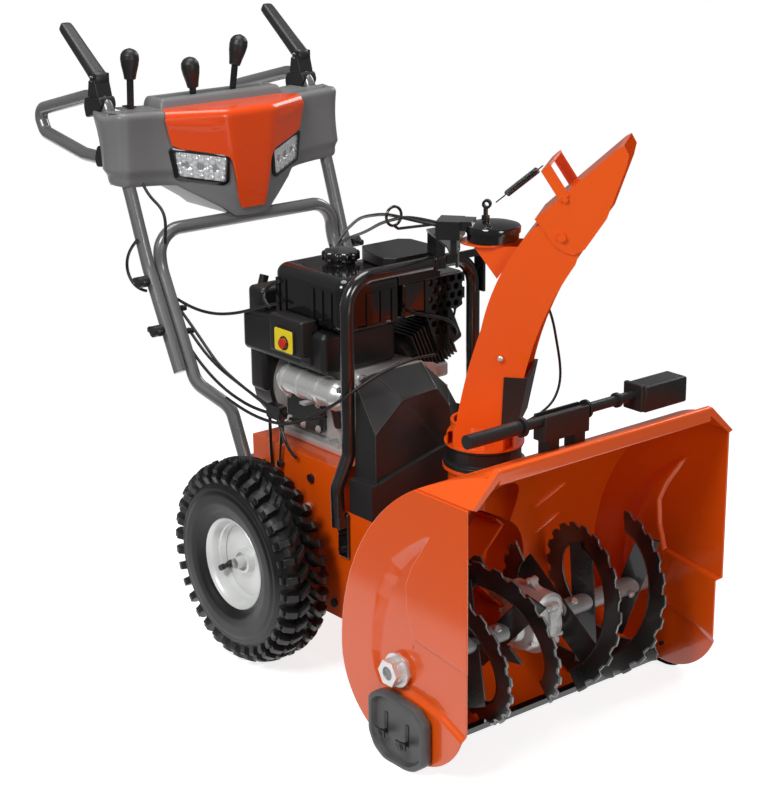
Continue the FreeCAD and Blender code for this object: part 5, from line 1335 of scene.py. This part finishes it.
tankSet = {"sideRibs": (-130, -104, -78, 6, 26), "sideX": (-154.5, -150), "sideHalf": 5, "sideZ": (652, 716),
           "frontRibs": (-124, -92, -60, -34), "frontY": (-166.5, -162), "frontHalf": 6, "frontZ": (652, 712)}
capSet = {"middle": (-62, -46), "radius": 33, "lobes": 10, "lobe": 2.2, "points": 96,
          # height and share of the radius, from the rim up
          "rows": [(748.5, 0.96), (750, 1.0), (762, 1.0), (765, 0.94), (766, 0.7), (766.3, 0.02)]}


def makeTankRibs(s):
    # raised ribs on the tank's two seen sides
    made = []
    for y in s["sideRibs"]:
        outline = boxOutline(y - s["sideHalf"], y + s["sideHalf"], *s["sideZ"])
        made.append(slab("rib", outline, "YZ", *s["sideX"], 2))
    for x in s["frontRibs"]:
        outline = boxOutline(x - s["frontHalf"], x + s["frontHalf"], *s["frontZ"])
        made.append(slab("rib", outline, "XZ", *s["frontY"], 2))
    dress(joined("tankRibs", made), "glossPlastic", "chassis", slot="black_plastic")


def makeFuelCap(s):
    # a circle with a cosine wave round it, carried up and drawn in at the top
    turn = np.arange(s["points"]) * 2 * math.pi / s["points"]
    lobes = s["radius"] + s["lobe"] * np.cos(s["lobes"] * turn)
    rows = [np.c_[arcAbout(s["middle"], share * lobes, turn), 0 * turn + z] for z, share in s["rows"]]
    cap = surface("lobedCap", placed(rows), closeCols=True, capEnds=True, angle=40)
    dress(cap, "glossPlastic", nodes["fuel_cap"]["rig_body"], "fuel_cap", slot="black_plastic")


engineSet = {"cover": [(-56, 424), (-56, 486), (-34, 506), (30, 506), (52, 484), (52, 424)],
             "coverX": (-121, -108),
             "coverBolts": [(-46, 434), (-46, 482), (0, 498), (42, 482), (42, 434), (0, 432)],
             "neck": ((-112, -96, 452), (-140, -120, 506), 8.5),
             "plug": ((-140, -120, 506), (-145, -124.5, 517), 12), "webs": (-110, -84, 58),
             "webX": (-127.5, -108), "webZ": (402, 424), "webHalf": 2.5, "ribs": (-96, -78, -6, 12, 30),
             "ribY": (-155.5, -150), "ribZ": (420, 556), "ribHalf": 2,
             "bracket": [(20, 560), (76, 548), (82, 520), (60, 500), (24, 512)], "bracketY": (-150, -144),
             "bracketBolts": [(34, -150, 536), (64, -150, 526)], "leadRadius": 3.4,
             "lead": [(148, -112, 566), (150, -134, 590), (120, -150, 620), (70, -152, 640),
                      (20, -150, 650), (4, -146, 668)]}


def makeEngineSide(s):
    # side cover, its bolts, the oil filler and the webs of the foot
    line = roundedLine(s["cover"], [12] * len(s["cover"]), 80, closed=True)
    dress(slab("sideCover", line, "YZ", *s["coverX"], 3), "blackPaint", "chassis", slot="cast_aluminium")
    spots = [(s["coverX"][0], y, z) for y, z in s["coverBolts"]]
    dress(bolts("sideCoverBolts", spots, "x", 5, -5, 7), "brightMetal", "chassis", slot="bright_steel")
    filler = joined("oilFiller", [rodBetween("neck", *s["neck"]), rodBetween("plug", *s["plug"])])
    dress(filler, "blackPlastic", "chassis", slot="black_plastic")
    half = s["webHalf"]
    webs = [slab("web", boxOutline(y - half, y + half, *s["webZ"]), "YZ", *s["webX"], 0.8) for y in s["webs"]]
    dress(joined("footWebs", webs), "castMetal", "chassis", slot="cast_aluminium")


def makeEngineFront(s):
    # ribs and bolts of the crankcase, a bright bracket by the cylinder and the spark plug's lead
    half = s["ribHalf"]
    ribs = [slab("rib", boxOutline(x - half, x + half, *s["ribZ"]), "XZ", *s["ribY"], 0.8) for x in s["ribs"]]
    dress(joined("caseRibs", ribs), "castMetal", "chassis", slot="cast_aluminium")
    spots = [(x, -152, z) for x in (-100, 36) for z in (424, 490, 552)] + [(-50, -168, 490)]
    dress(bolts("caseBolts", spots, "y", 6, -6, 8.5), "brightMetal", "chassis", slot="bright_steel")
    line = roundedLine(s["bracket"], [6] * len(s["bracket"]), 60, closed=True)
    dress(slab("plugBracket", line, "XZ", *s["bracketY"], 1), "brightMetal", "chassis", slot="cast_aluminium")
    heads = bolts("bracketBolts", s["bracketBolts"], "y", 5.5, -5, 7.5)
    dress(heads, "shaftSteel", "chassis", slot="bright_steel")
    lead = cableCurve("plugLead", s["lead"], s["leadRadius"])
    dress(lead, "blackRubber", "chassis", slot="rubber")


# the belt cover's front facet line and its back line, as x and z
coverSet = {"front": [(-152, 330), (-152, 482), (-90, 534), (-10, 540), (20, 500), (30, 440), (34, 330)],
            "back": [(-154, 330), (-152, 564), (-110, 574), (2, 574), (62, 520), (116, 430), (126, 330)],
            "frontY": -254, "beadY": -253.5, "backY": -199, "bead": 0.8}


def makeCoverEdges(s):
    # thin beads along the belt cover's facet edges, in a lighter grey that paints the highlights on those
    # edges
    lines = [[(x, s["frontY"], z) for x, z in s["front"]]]
    for (xa, za), (xb, zb) in list(zip(s["front"], s["back"]))[1:-1]:
        lines.append([(xa, s["beadY"], za), (xb, s["backY"], zb)])
    made = []
    for line in lines:
        path = spacedLine(line, 12 * len(line))
        sideways = (0.1, 0.1, 1) if len(line) == 2 else (0, 1, 0)
        made.append(sweptShape("bead", path, roundSection(s["bead"], 10), sideways=sideways))
    dress(joined("coverHighlightBeads", made), "paintedEdgeHighlight", "chassis", slot="black_plastic")


linkSet = {"radius": 3.2,
           "runs": [[(-196, -20, 470), (-198, -40, 430), (-190, -48, 404), (-178, -52, 392)],
                    [(-184, 20, 462), (-180, 26, 420), (-176, 30, 372), (-172, 30, 340)]]}


def makeLinkage(s):
    # two bent control rods low on the machine's left
    for number, run in enumerate(s["runs"]):
        dress(cableCurve(f"linkRod{number}", run, s["radius"]), "blackPaint", "chassis", slot="black_steel")


makeSwitch(switchSet)
makeStarter(starterSet)
makeTankRibs(tankSet)
makeFuelCap(capSet)
makeEngineSide(engineSet)
makeEngineFront(engineSet)
makeCoverEdges(coverSet)
makeLinkage(linkSet)

cableRadius = 3.0
cableSet = {
    "chutePull": [(-66, -318, 858), (-84, -270, 862), (-66, -190, 858), (-8, -70, 826), (66, 60, 790),
                  (130, 170, 745), (180, 262, 706), (192, 305, 660), (188, 300, 610)],
    "chuteReturn": [(-52, -304, 858), (-64, -250, 862), (-44, -190, 846), (20, -60, 806), (100, 66, 762),
                    (162, 180, 722), (182, 274, 690), (182, 306, 650), (178, 296, 600)],
    "hoodPull": [(-20, -262, 606), (-76, -262, 612), (-140, -236, 586), (-192, -206, 540),
                 (-200, -120, 490), (-200, -60, 462), (-201, 10, 452), (-201, 80, 456), (-198, 140, 466)],
    "driveClutch": [(-191, 14.3, 480), (-191, 58, 488), (-191, 112, 502), (-191, 167, 519),
                    (-191, 208, 545), (-191, 251, 576), (-191, 296, 604)],
    "augerClutch": [(-184, 14.3, 470), (-184, 54, 481), (-184, 100, 493), (-184, 150, 504),
                    (-184, 200, 519), (-184, 244, 541), (-184, 284, 570)],
    "throttle": [(-191, 14.3, 466), (-191, 60, 463), (-191, 106, 468), (-191, 156, 478), (-190, 210, 497),
                 (-190, 252, 520), (-190, 284, 544)],
    "tankLead": [(-191, 318, 627), (-189, 270, 617), (-184, 214, 614), (-176, 160, 622), (-168, 104, 638),
                 (-161, 60, 657), (-156.5, 20, 668)],
    "fuelHose": [(-156, 12, 712), (-160, 42, 702), (-168, 54, 684), (-174, 40, 668), (-176, 18, 664)],
    "engineLead": [(-174, -30, 462), (-174, -62, 467), (-173, -96, 475), (-168, -132, 490)],
    "handleLoop": [(-254, 342, 746), (-256, 368, 724), (-256, 386, 694), (-255, 376, 662), (-254, 348, 648),
                   (-253, 320, 650)],
    "consoleLead": [(-214, 392, 862), (-214, 364, 826), (-213, 326, 814), (-212, 303, 794),
                    (-212, 305, 766), (-212, 310, 738)],
}

yokeSet = {"plate": (-28, 14, 460, 486), "plateX": (-196, -179),
           "rod": ((-184, -20, 464), (-179, -8, 410), 4.2), "wire": ((-179, -6, 410), (-177, 2, 366), 2.6),
           "footAt": (0, 2, 366), "foot": [(-182, 5), (-181, 7), (-171, 7), (-170, 5)],
           "clips": [(-186, 300, 608), (-184, 280, 566), (186, 300, 636), (180, 290, 600)],
           "clip": [(-4, 8), (-3, 9.5), (3, 9.5), (4, 8)]}


def makeCables(routes, radius):
    # every cable is held by the machine along its whole route; the first stands for the CAD node of them all
    for number, (name, route) in enumerate(routes.items()):
        replaced = ["control_cables"] if number == 0 else []
        dress(cableCurve(name, route, radius), "blackRubber", "chassis", *replaced, slot="rubber")


def makeYoke(s):
    # the cable yoke beside the engine and clips round the handle tubes
    line = roundedLine(boxOutline(*s["plate"]), [3] * 4, 40, closed=True)
    parts = [slab("yokePlate", line, "YZ", *s["plateX"], 1.5), rodBetween("yokeRod", *s["rod"]),
             rodBetween("yokeWire", *s["wire"]), turnedShape("yokeFoot", s["foot"], "x", s["footAt"], 24)]
    dress(joined("cableYoke", parts), "blackPaint", "chassis", slot="black_steel")
    for number, spot in enumerate(s["clips"]):
        clip = turnedShape("clip", s["clip"], "z", spot, 24)
        clip.name = f"cableClip{number}"
        dress(clip, "blackPlastic", "chassis", slot="black_plastic")


makeCables(cableSet, cableRadius)
makeYoke(yokeSet)
print("engine details and cables are made")

# carried-over parts: those with rounded edges, by finish and edge width in mm, and those kept as they are
softenedSet = {
    "orangePaint": {"chassis_box": 1.5, "housing_shell": 0.8, "chute": 1.0, "deflector": 1.0,
                    "impeller": 0.8},
    "blackPlastic": {"chute_collar": 0.8, "cleaning_tool": 1.2, "tool_clip": 1.2, "intake_cover": 2,
                     "switch_box": 2, "fan_shroud": 3, "fasteners": 0.4},
    "glossPlastic": {"fuel_tank": 4},
    "softBlack": {"belt_cover": 4},
    "blackPaint": {"scraper_bar": 0.6, "muffler_guard": 0.8, "chute_head": 1.0},
    "blackFins": {"cylinder": 0.6},
    "castMetal": {"crankcase": 2},
}
plainSet = {
    "orangePaint": ["impeller_drum"],
    "blackPaint": ["guard_hoop"],
    "greyTube": ["lower_handle", "handle_tube_left", "handle_tube_right"],
    "brightMetal": ["bearings", "crankshaft", "impeller_shaft", "friction_disc", "friction_wheel", "axle",
                    "muffler"],
    "shaftSteel": ["auger_shaft"],
    "blackRubber": ["belts_and_chain", "recoil_grip", "chute_flap"],
    "redPlastic": ["start_button"],
}
for finish, parts in softenedSet.items():
    for node, width in parts.items():
        softened(node, finish, width)
for finish, parts in plainSet.items():
    for node in parts:
        mesh = nodes[node].data
        mesh.materials.clear()
        mesh.materials.append(finishes[finish])
        mesh.polygons.foreach_set("use_smooth", [True] * len(mesh.polygons))
print("carried-over parts are dressed")

# floor; lengths in metres. The reflection strip and its strengths make the floor glow for shiny surfaces
# only, a painted reflection on them.
floorSet = {"half": 40, "shade": 0.52, "glow": 0.8, "fade": (0.9, 1.7), "strip": (0.7, 0.76),
            "mirrored": (1.25, 0.16)}


def makeFloorPaint(s):
    # a matt white floor that keeps a soft shadow near the machine and turns plain white further out;
    # for shiny surfaces only the floor glows, brightly in a strip under the machine and dimmer beside it,
    # which paints their reflections
    material = bpy.data.materials.new("floorPaint")
    material.use_nodes = True
    tree = material.node_tree
    node = tree.nodes.new
    link = tree.links.new
    out = tree.nodes["Material Output"]
    shader = tree.nodes["Principled BSDF"]
    shader.inputs["Base Color"].default_value = (s["shade"], s["shade"], s["shade"], 1)
    shader.inputs["Roughness"].default_value = 0.9
    shader.inputs["Specular IOR Level"].default_value = 0.1
    shader.inputs["Emission Color"].default_value = (1, 1, 1, 1)
    path = node("ShaderNodeLightPath")
    spot = node("ShaderNodeTexCoord")
    split = node("ShaderNodeSeparateXYZ")
    wide = node("ShaderNodeMath")
    wide.operation = "ABSOLUTE"
    strip = node("ShaderNodeMapRange")
    strip.inputs["From Min"].default_value = s["strip"][0]
    strip.inputs["From Max"].default_value = s["strip"][1]
    strip.inputs["To Min"].default_value = s["mirrored"][0]
    strip.inputs["To Max"].default_value = s["mirrored"][1]
    camera = node("ShaderNodeMath")
    camera.operation = "MULTIPLY"
    camera.inputs[1].default_value = s["glow"]
    distance = node("ShaderNodeVectorMath")
    distance.operation = "LENGTH"
    far = node("ShaderNodeMapRange")
    far.inputs["From Min"].default_value = s["fade"][0]
    far.inputs["From Max"].default_value = s["fade"][1]
    toCamera = node("ShaderNodeMath")
    toCamera.operation = "MULTIPLY"
    plain = node("ShaderNodeEmission")
    plain.inputs["Color"].default_value = (1, 1, 1, 1)
    # a glow seen only by glossy rays: the painted reflection of the strip
    mirrored = node("ShaderNodeEmission")
    mirrored.inputs["Color"].default_value = (1, 1, 1, 1)
    mix = node("ShaderNodeMixShader")
    paintedReflectionMix = node("ShaderNodeMixShader")
    link(spot.outputs["Object"], split.inputs[0])
    link(spot.outputs["Object"], distance.inputs[0])
    link(split.outputs["X"], wide.inputs[0])
    link(wide.outputs[0], strip.inputs["Value"])
    link(strip.outputs["Result"], mirrored.inputs["Strength"])
    link(path.outputs["Is Camera Ray"], camera.inputs[0])
    link(camera.outputs[0], shader.inputs["Emission Strength"])
    link(distance.outputs["Value"], far.inputs["Value"])
    link(far.outputs["Result"], toCamera.inputs[0])
    link(path.outputs["Is Camera Ray"], toCamera.inputs[1])
    link(toCamera.outputs[0], mix.inputs[0])
    link(shader.outputs[0], mix.inputs[1])
    link(plain.outputs[0], mix.inputs[2])
    link(path.outputs["Is Glossy Ray"], paintedReflectionMix.inputs[0])
    link(mix.outputs[0], paintedReflectionMix.inputs[1])
    link(mirrored.outputs[0], paintedReflectionMix.inputs[2])
    link(paintedReflectionMix.outputs[0], out.inputs["Surface"])
    return material


def makeFloor(s):
    # a wide plane under the machine
    half = s["half"]
    mesh = bpy.data.meshes.new("floor")
    corners = [(x, y, 0) for x, y in boxOutline(-half, half, -half, half)]
    mesh.from_pydata(corners, [], [(0, 1, 2, 3)])
    mesh.materials.append(makeFloorPaint(s))
    floor = bpy.data.objects.new("floor", mesh)
    bpy.context.scene.collection.objects.link(floor)


makeFloor(floorSet)
bpy.context.scene.view_settings.view_transform = "Standard"
print("the scene is whole")
